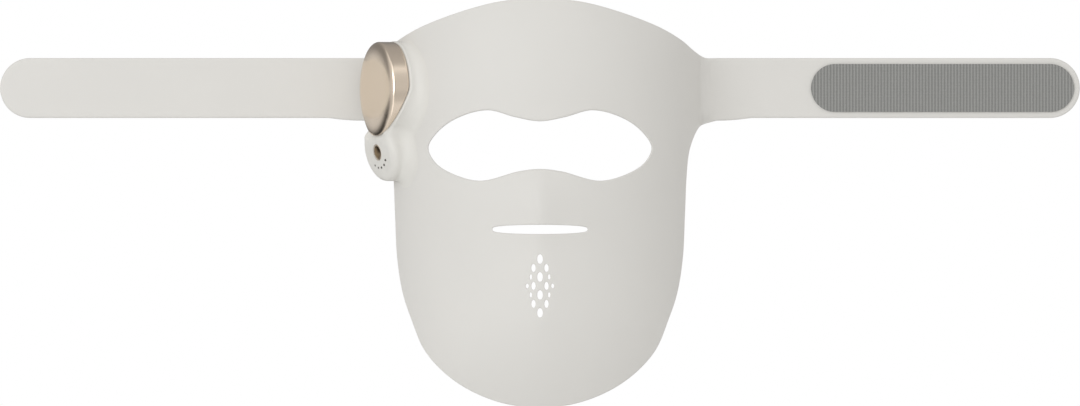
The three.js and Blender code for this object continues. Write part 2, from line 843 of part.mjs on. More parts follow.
// Block that carries the pins; each pin passes through the cover
function make_contact_block() {
  const low = -unit_depth + unit_cover + fit_gap;
  const block = box_between(
    -contact_block_length / 2,
    contact_block_length / 2,
    contact_block_foot,
    contact_block_foot + contact_block_height,
    low,
    low + contact_block_depth,
  );
  const pins = contact_places().map(([u, v]) => disc(pin_radius, -unit_depth, low + fit_gap, pin_sides, u, v));
  return join(block, ...pins);
}

const unit_magnet = (side) => disc(
  magnet_radius,
  -unit_depth + unit_cover + fit_gap,
  -unit_depth + unit_cover + fit_gap + magnet_thickness,
  small_sides,
  side * magnet_offset,
  magnet_height,
);

// Outline of the base: the ring under the unit and the round lobe below it, with a rounded neck on both sides
function base_outline_prism() {
  const ring_reach = base_radius + lobe_neck_round;
  const lobe_reach = lobe_radius + lobe_neck_round;
  const neck_drop = (lobe_drop ** 2 + ring_reach ** 2 - lobe_reach ** 2) / (2 * lobe_drop);
  const neck_side = Math.sqrt(ring_reach ** 2 - neck_drop ** 2);
  const from_ring = Math.atan2(neck_drop, neck_side);
  const from_lobe = Math.atan2(lobe_drop - neck_drop, neck_side);
  const half_turn = Math.PI;
  const arc = (u, v, radius, start, end, steps) => steps_between(start, end, steps).map((angle) => (
    new THREE.Vector2(u + radius * Math.cos(angle), v + radius * Math.sin(angle))
  ));
  const ring = arc(0, 0, base_radius, -from_ring, half_turn + from_ring, ring_arc_steps);
  const lobe = arc(0, -lobe_drop, lobe_radius, half_turn - from_lobe, 2 * half_turn + from_lobe, lobe_arc_steps);
  const left = arc(-neck_side, -neck_drop, lobe_neck_round, from_ring, -from_lobe, fillet_steps);
  const right = arc(
    neck_side,
    -neck_drop,
    lobe_neck_round,
    half_turn + from_lobe,
    half_turn - from_ring,
    fillet_steps,
  );
  const shape = new THREE.Shape([
    ...ring,
    ...left.slice(1, -1),
    ...lobe,
    ...right.slice(1, -1),
  ]);
  return new THREE.ExtrudeGeometry(shape, {
    depth: unit_stand_off + rim_depth,
    bevelEnabled: false,
  }).translate(0, 0, -unit_stand_off - rim_depth);
}

// Space above the seat of the unit, up to the round step where the lobe begins
function above_seat() {
  const far = unit_radius + cut_overrun;
  const above = prism_across([
    [far, -unit_depth - unit_gap],
    [0, -unit_depth - unit_gap],
    [-far, unit_rear(-far) - unit_gap],
    [-far, far],
    [far, far],
  ], far);
  return common(above, disc(lobe_step, -cut_overrun, cut_overrun, round_sides));
}

// Solid that fills the mask from just above the outer skin inward
function skin_cutter() {
  const overhang = lobe_radius;
  return ring_body((column) => {
    const outward = [
      ...skin_steps(column),
      column.outer + overhang / 3,
      column.outer + 2 * overhang,
    ];
    return [
      ...outward.map((q) => [q, -fit_gap]),
      ...outward.reverse().map((q) => [q, unit_stand_off]),
    ];
  }).applyMatrix4(to_unit_frame);
}

// Moulded base: seat with a recess for the contact plate and two magnets, lobe with the button bore
function make_base() {
  const block = base_outline_prism();
  const above_lobe = box_between(
    -cut_overrun,
    cut_overrun,
    -cut_overrun,
    cut_overrun,
    0,
    cut_overrun,
  ).applyMatrix4(lobe_matrix);
  const plate_recess = box_between(
    -contact_plate_length / 2 - fit_gap,
    contact_plate_length / 2 + fit_gap,
    contact_block_foot + (contact_block_height - contact_plate_height) / 2 - fit_gap,
    contact_block_foot + (contact_block_height + contact_plate_height) / 2 + fit_gap,
    -unit_depth - unit_gap - contact_plate_thickness - fit_gap,
    0,
  );
  const magnet_pockets = [-1, 1].map((side) => disc(
    magnet_radius + fit_gap,
    -unit_depth - unit_gap - magnet_thickness - fit_gap,
    0,
    small_sides,
    side * magnet_offset,
    magnet_height,
  ));
  const bore = disc(button_radius + fit_gap, -unit_stand_off, unit_gap, small_sides).applyMatrix4(lobe_matrix);
  const pocket = disc(lobe_pocket_radius, -unit_stand_off - cut_overrun, -lobe_wall, round_sides)
    .applyMatrix4(lobe_matrix);
  const light_holes = light_places().map(([u, v]) => disc(
    light_radius + fit_gap,
    -unit_stand_off,
    unit_gap,
    pin_sides,
    u,
    v,
  ).applyMatrix4(lobe_matrix));
  return cut(block, skin_cutter(), above_seat(), above_lobe, plate_recess, ...magnet_pockets, bore, pocket,
    ...light_holes);
}

function make_contact_plate() {
  const top = -unit_depth - unit_gap;
  const middle = contact_block_foot + contact_block_height / 2;
  const plate = box_between(
    -contact_plate_length / 2,
    contact_plate_length / 2,
    middle - contact_plate_height / 2,
    middle + contact_plate_height / 2,
    top - contact_plate_thickness,
    top,
  );
  const contacts = contact_places().map(([u, v]) => disc(
    pin_radius + contact_rise,
    top - contact_plate_thickness / 2,
    top + contact_rise,
    pin_sides,
    u,
    v,
  ));
  return join(plate, ...contacts);
}

const base_magnet = (side) => disc(
  magnet_radius,
  -unit_depth - unit_gap - magnet_thickness,
  -unit_depth - unit_gap,
  small_sides,
  side * magnet_offset,
  magnet_height,
);

// Places of the lights on an arc round the button
function light_places() {
  return Array.from({ length: light_count }, (_, i) => {
    const angle = light_first_angle + i * light_step_angle;
    return [light_ring_radius * Math.cos(angle), light_ring_radius * Math.sin(angle)];
  });
}

// Curved bar behind the lobe face with a pin through it for each light
function make_light_guide() {
  const reach = light_step_angle / 3;
  const first = light_first_angle - reach;
  const last = light_first_angle + (light_count - 1) * light_step_angle + reach;
  const shape = new THREE.Shape();
  shape.absarc(0, 0, light_ring_radius + light_bar_width / 2, first, last, false);
  shape.absarc(0, 0, light_ring_radius - light_bar_width / 2, last, first, true);
  shape.closePath();
  const top = -lobe_wall - fit_gap;
  const bar = new THREE.ExtrudeGeometry(shape, {
    depth: light_bar_depth,
    bevelEnabled: false,
    curveSegments: small_sides / 2,
  }).translate(0, 0, top - light_bar_depth);
  const pins = light_places().map(([u, v]) => disc(
    light_radius,
    top - light_bar_depth / 2,
    -rim_round / 10,
    pin_sides,
    u,
    v,
  ));
  return join(bar, ...pins);
}

// Dished cap with a flange that keeps it in and a stem that meets the switch
function make_button() {
  const top = -button_recess;
  const flange_top = -lobe_wall - fit_gap;
  const flange_bottom = flange_top - button_flange_height;
  return turned([
    [0, flange_bottom - button_stem_length],
    [button_stem_radius, flange_bottom - button_stem_length],
    [button_stem_radius, flange_bottom],
    [button_flange_radius, flange_bottom],
    [button_flange_radius, flange_top],
    [button_radius, flange_top],
    [button_radius, top - button_dish / 2],
    [button_radius - button_dish / 2, top],
    [button_radius - button_dish, top],
    [button_radius / 2, top - button_dish * 0.75],
    [0, top - button_dish],
  ], small_sides);
}

function make_tact_switch() {
  const low = -switch_board_level + fit_gap;
  const body = box_between(
    -switch_size / 2,
    switch_size / 2,
    -switch_size / 2,
    switch_size / 2,
    low,
    low + switch_height,
  );
  const plunger = disc(
    switch_plunger_radius,
    low + switch_height / 2,
    low + switch_height + switch_plunger_height,
    small_sides,
  );
  return join(body, plunger);
}

const make_switch_board = () => disc(
  switch_board_radius,
  -switch_board_level - switch_board_thickness,
  -switch_board_level,
  round_sides,
);

// Cover that closes the pocket of the lobe along the skin of the mask, slotted for the flat tail
function make_lobe_cover() {
  const top = -switch_board_level - switch_board_thickness - fit_gap;
  const plug = disc(lobe_pocket_radius - fit_gap, -unit_stand_off, top, round_sides).applyMatrix4(lobe_matrix);
  const half_height = tail_width / 2 + tail_slot_margin;
  const half_thickness = tail_thickness / 2 + tail_slot_margin;
  const slot = box_between(
    -half_thickness,
    half_thickness,
    -lobe_drop - half_height,
    -lobe_drop + half_height,
    -unit_stand_off - rim_depth,
    0,
  );
  return cut(plug, skin_cutter(), slot);
}

// Flat tail between the switch board and the diode board
function make_flex_tail() {
  const lean_drop = (tail_width / 2) * Math.tan(lobe_lean);
  const board_face = -lobe_level - switch_board_level - switch_board_thickness - lean_drop;
  return box_between(
    -tail_thickness / 2,
    tail_thickness / 2,
    -lobe_drop - tail_width / 2,
    -lobe_drop + tail_width / 2,
    -unit_stand_off - board_top + layer_gap,
    board_face - 2 * fit_gap,
  );
}

// Finishes
const finish = (color, roughness, metalness = 0, extra = {}) => new THREE.MeshStandardMaterial({
  color,
  roughness,
  metalness,
  ...extra,
});
const ivory_silicone = () => finish('#dcdad4', 0.62);
const ivory_plastic = () => finish('#dedcd5', 0.5);
const clear_silicone = () => finish('#e6e6e2', 0.3, 0, { transparent: true, opacity: 0.6 });
const champagne_metal = () => finish('#cdbda9', 0.36, 0.85);
const grey_fabric = () => finish('#8b8a87', 0.95);
const pale_fabric = () => finish('#d2d0ca', 0.95);
const green_board = () => finish('#dfe3df', 0.55);
const dark_plastic = () => finish('#2e2d2b', 0.5);
const bare_steel = () => finish('#b9babc', 0.3, 0.9);
const battery_film = () => finish('#7f8a94', 0.4, 0.3);
const amber_film = () => finish('#b87a33', 0.45);
const milky_plastic = () => finish('#5d5a55', 0.35);

function named(name, geometry, material) {
  const mesh = new THREE.Mesh(geometry, material);
  mesh.name = name;
  return mesh;
}

const mask = new THREE.Group();
mask.add(
  named('mask_outer_shell', shell, ivory_silicone()),
  named('inner_liner', liner, clear_silicone()),
  named('led_flex_board', flex_board, green_board()),
  named('right_strap_inner', strap_root_plate(right_fold - hinge_gap / 2), ivory_silicone()),
  named('right_strap_tail', strap_plate(right_fold + hinge_gap / 2, strap_end, true), ivory_silicone()),
  named('hook_pad', pad_plate(-glue_line - pad_thickness), grey_fabric()),
  named('left_strap_inner', mirrored(strap_root_plate(left_fold - hinge_gap / 2)), ivory_silicone()),
  named('left_strap_tail', mirrored(strap_plate(left_fold + hinge_gap / 2, strap_end, true)), ivory_silicone()),
  named('loop_pad', mirrored(pad_plate(strap_thickness + glue_line)), pale_fabric()),
);

const unit_group = new THREE.Group();
unit_group.applyMatrix4(unit_matrix);
unit_group.add(
  named('unit_housing', make_unit_housing(), champagne_metal()),
  named('unit_back_cover', make_unit_cover(), dark_plastic()),
  named('unit_main_board', make_unit_board(), green_board()),
  named('unit_battery', make_battery(), battery_film()),
  named('unit_contact_block', make_contact_block(), dark_plastic()),
  named('unit_magnet_rear', unit_magnet(-1), bare_steel()),
  named('unit_magnet_front', unit_magnet(1), bare_steel()),
  named('base_housing', make_base(), ivory_plastic()),
  named('lobe_back_cover', make_lobe_cover(), ivory_plastic()),
  named('base_contact_plate', make_contact_plate(), dark_plastic()),
  named('base_magnet_rear', base_magnet(-1), bare_steel()),
  named('base_magnet_front', base_magnet(1), bare_steel()),
  named('led_flex_tail', make_flex_tail(), amber_film()),
);

const lobe_group = new THREE.Group();
lobe_group.applyMatrix4(lobe_matrix);
lobe_group.add(
  named('power_button', make_button(), champagne_metal()),
  named('light_guide', make_light_guide(), milky_plastic()),
  named('tact_switch', make_tact_switch(), dark_plastic()),
  named('switch_board', make_switch_board(), green_board()),
);
unit_group.add(lobe_group);
mask.add(unit_group);

export default mask;
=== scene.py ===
"""LED face mask: soft mask with two straps and a lift-off control unit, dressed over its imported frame."""

import functools
import math

import bmesh
import bpy
import numpy as np
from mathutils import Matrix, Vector


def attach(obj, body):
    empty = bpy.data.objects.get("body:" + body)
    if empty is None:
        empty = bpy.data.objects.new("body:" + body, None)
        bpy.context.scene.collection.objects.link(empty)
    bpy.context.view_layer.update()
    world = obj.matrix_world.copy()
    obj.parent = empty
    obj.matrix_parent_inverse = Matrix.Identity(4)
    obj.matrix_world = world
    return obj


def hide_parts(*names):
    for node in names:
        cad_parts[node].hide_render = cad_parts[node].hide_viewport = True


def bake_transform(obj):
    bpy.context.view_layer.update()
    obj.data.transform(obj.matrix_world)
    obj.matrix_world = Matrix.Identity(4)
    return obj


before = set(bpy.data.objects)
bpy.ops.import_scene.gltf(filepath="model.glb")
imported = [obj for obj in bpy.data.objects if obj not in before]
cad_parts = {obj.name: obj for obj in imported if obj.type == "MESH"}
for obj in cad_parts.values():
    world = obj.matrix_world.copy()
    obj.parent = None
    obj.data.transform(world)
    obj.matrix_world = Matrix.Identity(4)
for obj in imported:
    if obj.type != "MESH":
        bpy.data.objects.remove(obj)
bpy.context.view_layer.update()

bl_info = {
    "name": "LED face mask",
    "version": (1, 0, 0),
    "blender": (4, 5, 0),
    "location": "3D View > Sidebar > Face mask",
    "description": "Builds the skins, straps, pads, control unit and studio of a light therapy face mask",
    "category": "Object",
}

MM = 0.001

# Sizes of the frame, in millimetres, repeated from the solids that the skins lie on
HALF_WIDTH = 96.0
BROW_HEIGHT = 88.8
CHIN_DROP = 154.6
ROOT_FILLET = 5.0
ROOT_FLARE = 1.6
STRAP_REACH = 106.0
STRAP_TOP = 54.0
STRAP_BOTTOM = 18.0
STRAP_THICKNESS = 3.0
STRAP_END = 324.0
STRAP_HALF = (STRAP_TOP - STRAP_BOTTOM) / 2
STRAP_MIDDLE = STRAP_BOTTOM + STRAP_HALF
STRAP_JOIN = 130.0  # where the first length of a strap meets its tail
RIGHT_FOLD = 153.0
LEFT_FOLD = 159.1
RIM_DEPTH = 6.2
RIM_WIDTH = 2.4
SHELL_WALL = 2.0
COLLAR_WIDTH = 2.2
LAYER_GAP = 0.4
STRAIGHT_WALL_REACH = 14.0
PAD_RADIUS = 14.4
PAD_LENGTH = 157.8
PAD_END_MARGIN = 3.6
BOARD_BACK = 3.3
DIODE_MARGIN = 5.0

# Roundings and small steps of the skins
LIP = 1.2
SLIT_LIP = 0.7
VENT_LIP = 0.4
STEP = 0.3
TUBE_START = 1.0
ON_SKIN = 0.006
DISH_RADIUS = 3.75

# Straps: length of the flare at the root, the middle and the end of the stretch past the root (stations crowd round
# the middle), distances of stations
FLARE_LENGTH = 20
ROOT_BEND_MIDDLE, ROOT_BEND_END = 6.0, 12.0
COARSE_STATION, FINE_STATION = 3.0, 0.7
TAPE_RISE, TAPE_EASE, TAPE_STATION = 1.3, 0.35, 1.5

BROW_SHARES = [(0, 1), (0.18, 0.988), (0.334, 0.959), (0.584, 0.878), (0.769, 0.797), (0.897, 0.716),
               (0.951, 0.668)]
TEMPLE_SHARES = [(0.985, 0.56), (0.988, 0.4), (0.98, 0.22), (0.96, 0.08)]
JAW_SHARES = [(0.931, -0.023), (0.916, -0.116), (0.906, -0.259), (0.892, -0.427), (0.856, -0.563),
              (0.8, -0.666), (0.725, -0.776), (0.606, -0.862), (0.44, -0.934), (0.22, -0.986), (0, -1)]
EYE_TOP_SHARES = [(0, 0.7), (0.22, 0.81), (0.47, 1), (0.74, 0.79), (0.915, 0.42)]
EYE_BOTTOM_SHARES = [(1, 0), (0.945, -0.42), (0.82, -0.73), (0.54, -1), (0.19, -0.72), (0, -0.65)]
EYE_HALF_WIDTH = 66.3
EYE_TOP = 21.9
EYE_BOTTOM = 19.8

FLANK_ANGLE = math.radians(68)
FLANK_START = 84.37
FLANK_END = 95.5
TURN_RADIUS = 8.0
FRONT_RADIUS = FLANK_START / math.sin(FLANK_ANGLE)
FLANK_START_SAG = FRONT_RADIUS * (1 - math.cos(FLANK_ANGLE))
FLANK_END_SAG = FLANK_START_SAG + (FLANK_END - FLANK_START) * math.tan(FLANK_ANGLE)
TOTAL_SAG = FLANK_END_SAG + TURN_RADIUS * (1 - math.cos(FLANK_ANGLE))

SLIT_HEIGHT_AT = -48.6
SLIT_HALF_LENGTH = 28.2
SLIT_HALF_HEIGHT = 2.7
VENT_CENTRE = -82.0
VENT_ROW_PITCH = 10.6
# Columns of vents: distance from the middle, width and height of a vent, number of vents
VENT_COLUMNS = [(0.0, 3.3, 5.6, 4), (3.84, 2.5, 4.7, 3), (5.4, 1.4, 3.1, 2), (7.5, 1.7, 2.8, 1)]

# Ridge: half-width, roundness and fall of its gable; rise of nose and keel, and the drops below the eyes
# between which they come and go
RIDGE_HALF_WIDTH, RIDGE_ROUNDNESS, RIDGE_FALL = 20, 0.35, 1.8
NOSE_RISE, KEEL_RISE = 6, 3
NOSE_START, NOSE_FULL, NOSE_END, KEEL_END = 6, 36, 64, 150

# Bends: height and radius of the one at the brow, the widths between which it fades, drop and radius at the chin
BROW_BEND, BROW_RADIUS = 30, 150
BROW_FADE_START, BROW_FADE_END = 60, 95
CHIN_BEND, CHIN_RADIUS = 95, 100


# Shape of the skin

def smooth_between(start, end, value):
    """Cubic step: 0 before start, 1 after end, 3t^2 - 2t^3 between."""
    t = np.clip((value - start) / (end - start), 0, 1)
    return t * t * (3 - 2 * t)


def cross_section_sag(x):
    """Circle of the front radius, then a straight flank, then a hollow arc that ends flat on the strap."""
    side = np.abs(x)
    front = FRONT_RADIUS - np.sqrt(np.maximum(FRONT_RADIUS ** 2 - np.minimum(side, FLANK_START) ** 2, 0))
    flank = FLANK_START_SAG + (side - FLANK_START) * math.tan(FLANK_ANGLE)
    sine = np.maximum(0, math.sin(FLANK_ANGLE) - (side - FLANK_END) / TURN_RADIUS)
    turn = FLANK_END_SAG + TURN_RADIUS * (np.sqrt(np.maximum(0, 1 - sine ** 2)) - math.cos(FLANK_ANGLE))
    return np.where(side <= FLANK_START, front, np.where(side <= FLANK_END, flank, turn))


def ridge(x, z):
    """Gable whose crest is rounded and whose sides die out exponentially; its height fades in and out with z."""
    reach = np.sqrt((x / RIDGE_HALF_WIDTH) ** 2 + RIDGE_ROUNDNESS ** 2) - RIDGE_ROUNDNESS
    past_nose = smooth_between(NOSE_FULL, NOSE_END, -z)
    nose = NOSE_RISE * smooth_between(NOSE_START, NOSE_FULL, -z) * (1 - past_nose)
    keel = KEEL_RISE * past_nose * (1 - smooth_between(NOSE_END, KEEL_END, -z))
    return (nose + keel) * np.exp(-RIDGE_FALL * reach)


def skin_depth(x, z):
    """y of the outer skin: cross-section sag, parabolas that bend brow and chin back, minus the ridge."""
    fade = 1 - smooth_between(BROW_FADE_START, BROW_FADE_END, np.abs(x))
    brow = fade * np.maximum(0, z - BROW_BEND) ** 2 / (2 * BROW_RADIUS)
    chin = np.maximum(0, -z - CHIN_BEND) ** 2 / (2 * CHIN_RADIUS)
    return cross_section_sag(x) - TOTAL_SAG + brow + chin - ridge(x, z)


def skin_slopes(x, z):
    """Central differences of the skin's depth in x and in z."""
    step = 0.01
    slope_x = (skin_depth(x + step, z) - skin_depth(x - step, z)) / (2 * step)
    slope_z = (skin_depth(x, z + step) - skin_depth(x, z - step)) / (2 * step)
    return slope_x, slope_z


def skin_normal(x, z):
    """Unit vector from the skin towards the face: (-dy/dx, 1, -dy/dz) over its length."""
    slope_x, slope_z = skin_slopes(x, z)
    normal = np.stack([-slope_x, np.ones_like(slope_x), -slope_z], axis=-1)
    return normal / np.linalg.norm(normal, axis=-1, keepdims=True)


def skin_point(x, z, depth, straight_back=0.0):
    """Point of the skin at (x, z), moved by depth along its normal, or straight back along Y by depth over the
    normal's Y, which keeps the thickness; straight_back is the share of the latter."""
    base = np.stack([x, skin_depth(x, z), z], axis=-1)
    normal = skin_normal(x, z)
    back = np.zeros_like(normal)
    back[..., 1] = 1 / normal[..., 1]
    way = normal + (back - normal) * np.asarray(straight_back)[..., None]
    return base + way * np.asarray(depth)[..., None]


# Outlines

def spline(points, count, closed=False):
    """Centripetal Catmull-Rom curve: cubic pieces whose knots are spaced by the root of the chord."""
    points = np.asarray(points, float)
    total = len(points)
    if closed:
        padded = np.concatenate([points[-1:], points, points[:2]])
        pieces = total
    else:
        first = 2 * points[:1] - points[1:2]
        last = 2 * points[-1:] - points[-2:-1]
        padded = np.concatenate([first, points, last])
        pieces = total - 1
    place = np.linspace(0, pieces, count, endpoint=not closed)
    piece = np.minimum(place.astype(int), pieces - 1)
    t = (place - piece)[:, None]
    p0, p1, p2, p3 = (padded[piece + k] for k in range(4))
    dt0, dt1, dt2 = (np.sqrt(np.linalg.norm(b - a, axis=1))[:, None] for a, b in ((p0, p1), (p1, p2), (p2, p3)))
    t1 = ((p1 - p0) / dt0 - (p2 - p0) / (dt0 + dt1) + (p2 - p1) / dt1) * dt1
    t2 = ((p2 - p1) / dt1 - (p3 - p1) / (dt1 + dt2) + (p3 - p2) / dt2) * dt1
    return p1 + t1 * t + (-3 * p1 + 3 * p2 - 2 * t1 - t2) * t ** 2 + (2 * p1 - 2 * p2 + t1 + t2) * t ** 3


def scaled(shares, width, height):
    """Shares times the width and the height."""
    return np.array(shares, float) * [width, height]


def mirrored_closed(half):
    """Right half from top centre to bottom centre, followed by its mirror in x without the two centres."""
    left = half[1:-1][::-1] * [-1, 1]
    return np.concatenate([half, left])


def even_spacing(points, count, closed=True):
    """Resamples a polyline at equal lengths along it."""
    line = np.concatenate([points, points[:1]]) if closed else points
    length = np.concatenate([[0], np.cumsum(np.linalg.norm(np.diff(line, axis=0), axis=1))])
    wanted = np.linspace(0, length[-1], count, endpoint=not closed)
    return np.stack([np.interp(wanted, length, line[:, k]) for k in range(line.shape[1])], axis=1)


def polar_radius(outline):
    """Radius of a closed outline as a function of the angle about the origin."""
    fine = spline(outline, 4000, closed=True)
    angle = np.arctan2(fine[:, 1], fine[:, 0])
    order = np.argsort(angle)
    angle, radius = angle[order], np.hypot(fine[:, 0], fine[:, 1])[order]
    angle = np.concatenate([[angle[-1] - 2 * np.pi], angle, [angle[0] + 2 * np.pi]])
    radius = np.concatenate([[radius[-1]], radius, [radius[0]]])
    return lambda wanted: np.interp(wanted, angle, radius)


BROW = scaled(BROW_SHARES, HALF_WIDTH, BROW_HEIGHT)
TEMPLE = scaled(TEMPLE_SHARES, HALF_WIDTH, BROW_HEIGHT)
JAW = scaled(JAW_SHARES, HALF_WIDTH, CHIN_DROP)
EYE = np.concatenate([scaled(EYE_TOP_SHARES, EYE_HALF_WIDTH, EYE_TOP),
                      scaled(EYE_BOTTOM_SHARES, EYE_HALF_WIDTH, EYE_BOTTOM)])
body_radius = polar_radius(mirrored_closed(np.concatenate([BROW, TEMPLE, JAW])))
eye_radius = polar_radius(mirrored_closed(EYE))

SKIN_COLUMNS = 520
STUB_OVERRUN = 12.0
COLUMN_TURN = 0.45


def mask_outline():
    """Closed outline in (x, z) as two mirrored splines; stubs run on past the strap roots, to be cut there."""
    far = STRAP_REACH + STUB_OVERRUN
    flare = STRAP_BOTTOM - ROOT_FLARE
    top = np.concatenate([BROW, [[HALF_WIDTH, STRAP_TOP + ROOT_FILLET * 0.4],
                                 [HALF_WIDTH + ROOT_FILLET * 0.8, STRAP_TOP],
                                 [STRAP_REACH, STRAP_TOP], [far, STRAP_TOP]]])
    low = np.concatenate([[[far, flare + STUB_OVERRUN / 5], [STRAP_REACH, flare],
                           [HALF_WIDTH + ROOT_FILLET, flare - ROOT_FILLET * 0.28],
                           [HALF_WIDTH + ROOT_FILLET * 0.2, flare - ROOT_FILLET * 0.62],
                           [HALF_WIDTH - ROOT_FILLET * 0.3, flare - ROOT_FILLET * 1.2],
                           [HALF_WIDTH - ROOT_FILLET * 0.9, flare - ROOT_FILLET * 2.5]], JAW])
    brow = spline(np.concatenate([top[1:][::-1] * [-1, 1], top]), 1200)
    jaw = spline(np.concatenate([low, low[:-1][::-1] * [-1, 1]]), 1600)
    stub = np.linspace(brow[-1], jaw[0], 60)[1:-1]
    return np.concatenate([brow, stub, jaw, stub[::-1] * [-1, 1]])


def mask_columns():
    """Columns from the eye opening to the outline: angle and reaches at the opening and at the mask's own edge.
    A column that ends on a strap stub starts higher up, so that no two cross below the strap root.
    The share turns a true width at the opening into a width along the column: one over the cosine with the
    opening's normal, over the climb of the skin."""
    outline = even_spacing(mask_outline(), SKIN_COLUMNS)
    width = np.abs(outline[:, 0])
    below = np.clip((STRAP_TOP - outline[:, 1]) / (STRAP_TOP - STRAP_BOTTOM), 0, 1)
    raised = np.radians(COLUMN_TURN) * np.maximum(width - HALF_WIDTH + 10, 0) * below
    angle = np.arctan2(outline[:, 1], width) + raised
    angle = np.arctan2(np.sin(angle), np.sign(outline[:, 0]) * np.cos(angle))
    inner = eye_radius(angle)
    body = np.minimum(body_radius(angle), np.hypot(outline[:, 0], outline[:, 1]))
    on_strap = smooth_between(HALF_WIDTH - ROOT_FILLET, HALF_WIDTH, width)

    x, z = inner * np.cos(angle), inner * np.sin(angle)
    normal = outline_normals(np.stack([x, z], axis=1))
    across = np.abs(normal[:, 0] * np.cos(angle) + normal[:, 1] * np.sin(angle))
    slope_x, slope_z = skin_slopes(x, z)
    climb = np.sqrt(1 + (slope_x * np.cos(angle) + slope_z * np.sin(angle)) ** 2)
    return {"outline": outline, "angle": angle, "inner": inner, "body": body, "on_strap": on_strap,
            "inner_share": 1 / np.maximum(across, 0.09) / climb}


def quarter(steps, start, end):
    """Angles of an arc without its first point."""
    return np.linspace(start, end, steps + 1)[1:]


def straight_share(inset):
    """Share of straight-back depth at a distance from the eye opening: one at its rim, fading away from it."""
    return 1 - smooth_between(RIM_WIDTH, STRAIGHT_WALL_REACH, inset)


def swept_grid(columns, x, z, depth):
    """Points of a body swept round the eye opening from (column, loop) arrays of place and depth."""
    return skin_point(x, z, depth, straight_share(np.hypot(x, z) - columns["inner"][:, None]))


def swept_ring(columns, distance, depth):
    """The same from arrays of distance along each column."""
    angle = columns["angle"][:, None]
    return swept_grid(columns, distance * np.cos(angle), distance * np.sin(angle), depth)


# Meshes

def signed_volume(vertices, quads):
    """Sum of the tetrahedra between the origin and both triangles of each quad; positive when faces look out."""
    a, b, c, d = (vertices[quads[:, k]] for k in range(4))
    return np.einsum("ij,ij->", a, np.cross(b, c)) + np.einsum("ij,ij->", a, np.cross(c, d))


def grid_faces(rows, columns, wrap_rows, wrap_columns):
    """Quads of a grid of vertices numbered row by row."""
    i = np.arange(rows if wrap_rows else rows - 1)[:, None]
    j = np.arange(columns if wrap_columns else columns - 1)[None, :]
    i2, j2 = (i + 1) % rows, (j + 1) % columns
    return np.stack([i * columns + j, i * columns + j2, i2 * columns + j2, i2 * columns + j], axis=-1).reshape(-1, 4)


def place_in_scene(data, location=(0, 0, 0), rotation=(0, 0, 0)):
    """Object of a mesh, lamp or camera, under the same name."""
    holder = bpy.data.objects.new(data.name, data)
    holder.location, holder.rotation_euler = location, rotation
    bpy.context.scene.collection.objects.link(holder)
    return holder


def mesh_from(name, vertices, quads):
    """Mesh object in metres from millimetre vertices and quads, smooth shaded."""
    mesh = bpy.data.meshes.new(name)
    mesh.vertices.add(len(vertices))
    mesh.vertices.foreach_set("co", (np.asarray(vertices, np.float64) * MM).astype(np.float32).ravel())
    mesh.loops.add(quads.size)
    mesh.loops.foreach_set("vertex_index", quads.ravel().astype(np.int32))
    mesh.polygons.add(len(quads))
    mesh.polygons.foreach_set("loop_start", np.arange(0, quads.size, 4, dtype=np.int32))
    mesh.update(calc_edges=True)
    mesh.validate()
    mesh.polygons.foreach_set("use_smooth", np.ones(len(mesh.polygons), bool))
    piece = place_in_scene(mesh)
    piece.name = name
    return piece


def closed_grid(name, grid, wrap_rows=True, wrap_columns=True):
    """Body from a grid of points that closes on itself; turned so that its faces look out."""
    rows, columns = grid.shape[:2]
    vertices = grid.reshape(-1, 3)
    quads = grid_faces(rows, columns, wrap_rows, wrap_columns)
    if signed_volume(vertices - vertices.mean(axis=0), quads) < 0:
        quads = quads[:, ::-1]
    return mesh_from(name, vertices, quads)


def joined(count, runs):
    """Runs of coordinates end to end; each coordinate is spread to one row for every column of the body."""
    rows = []
    for run in runs:
        parts = [np.atleast_2d(part) for part in run]
        shape = (count, max(part.shape[1] for part in parts))
        rows.append(np.stack([np.broadcast_to(part, shape) for part in parts], axis=-1))
    return np.concatenate(rows, axis=1)


def edit_mesh(piece, change):
    """Runs a change on the piece's bmesh and writes it back."""
    bm = bmesh.new()
    bm.from_mesh(piece.data)
    change(bm)
    bm.to_mesh(piece.data)
    bm.free()
    piece.data.update()


def close_holes(bm):
    """Fills every open loop of edges with one face."""
    edges = [edge for edge in bm.edges if edge.is_boundary]
    bmesh.ops.holes_fill(bm, edges=edges, sides=0)
    for face in bm.faces:
        face.smooth = True


def face_outward(bm):
    """Turns all faces outward."""
    bmesh.ops.recalc_face_normals(bm, faces=bm.faces)


def seal(piece):
    """Caps the open ends of a piece and turns its faces out."""
    edit_mesh(piece, lambda bm: (close_holes(bm), face_outward(bm)))


def weld(piece, distance=0.002):
    """Merges vertices closer than the distance in millimetres and turns the faces out."""
    edit_mesh(piece, lambda bm: bmesh.ops.remove_doubles(bm, verts=bm.verts, dist=distance * MM))
    edit_mesh(piece, face_outward)
    return piece


def shade(piece, degrees=38):
    """Smooth shading that breaks at edges sharper than the angle."""
    piece.data.polygons.foreach_set("use_smooth", np.ones(len(piece.data.polygons), bool))
    piece.data.set_sharp_from_angle(angle=math.radians(degrees))


def dress(piece, finish, solid=None, body="mask"):
    """Gives a piece its finish and the body that it rides on, and hides the solid that it stands for."""
    piece.data.materials.clear()
    piece.data.materials.append(material(finish))
    if body:
        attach(piece, body)
    if solid:
        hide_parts(solid)


def discard(piece):
    """Removes a piece and its mesh."""
    data = piece.data
    bpy.data.objects.remove(piece)
    bpy.data.meshes.remove(data)


def join_into(piece, *others):
    """Adds the meshes of the others to the piece and removes them."""
    bm = bmesh.new()
    for source in (piece, *others):
        bm.from_mesh(source.data)
    bm.to_mesh(piece.data)
    bm.free()
    for other in others:
        discard(other)
    return piece


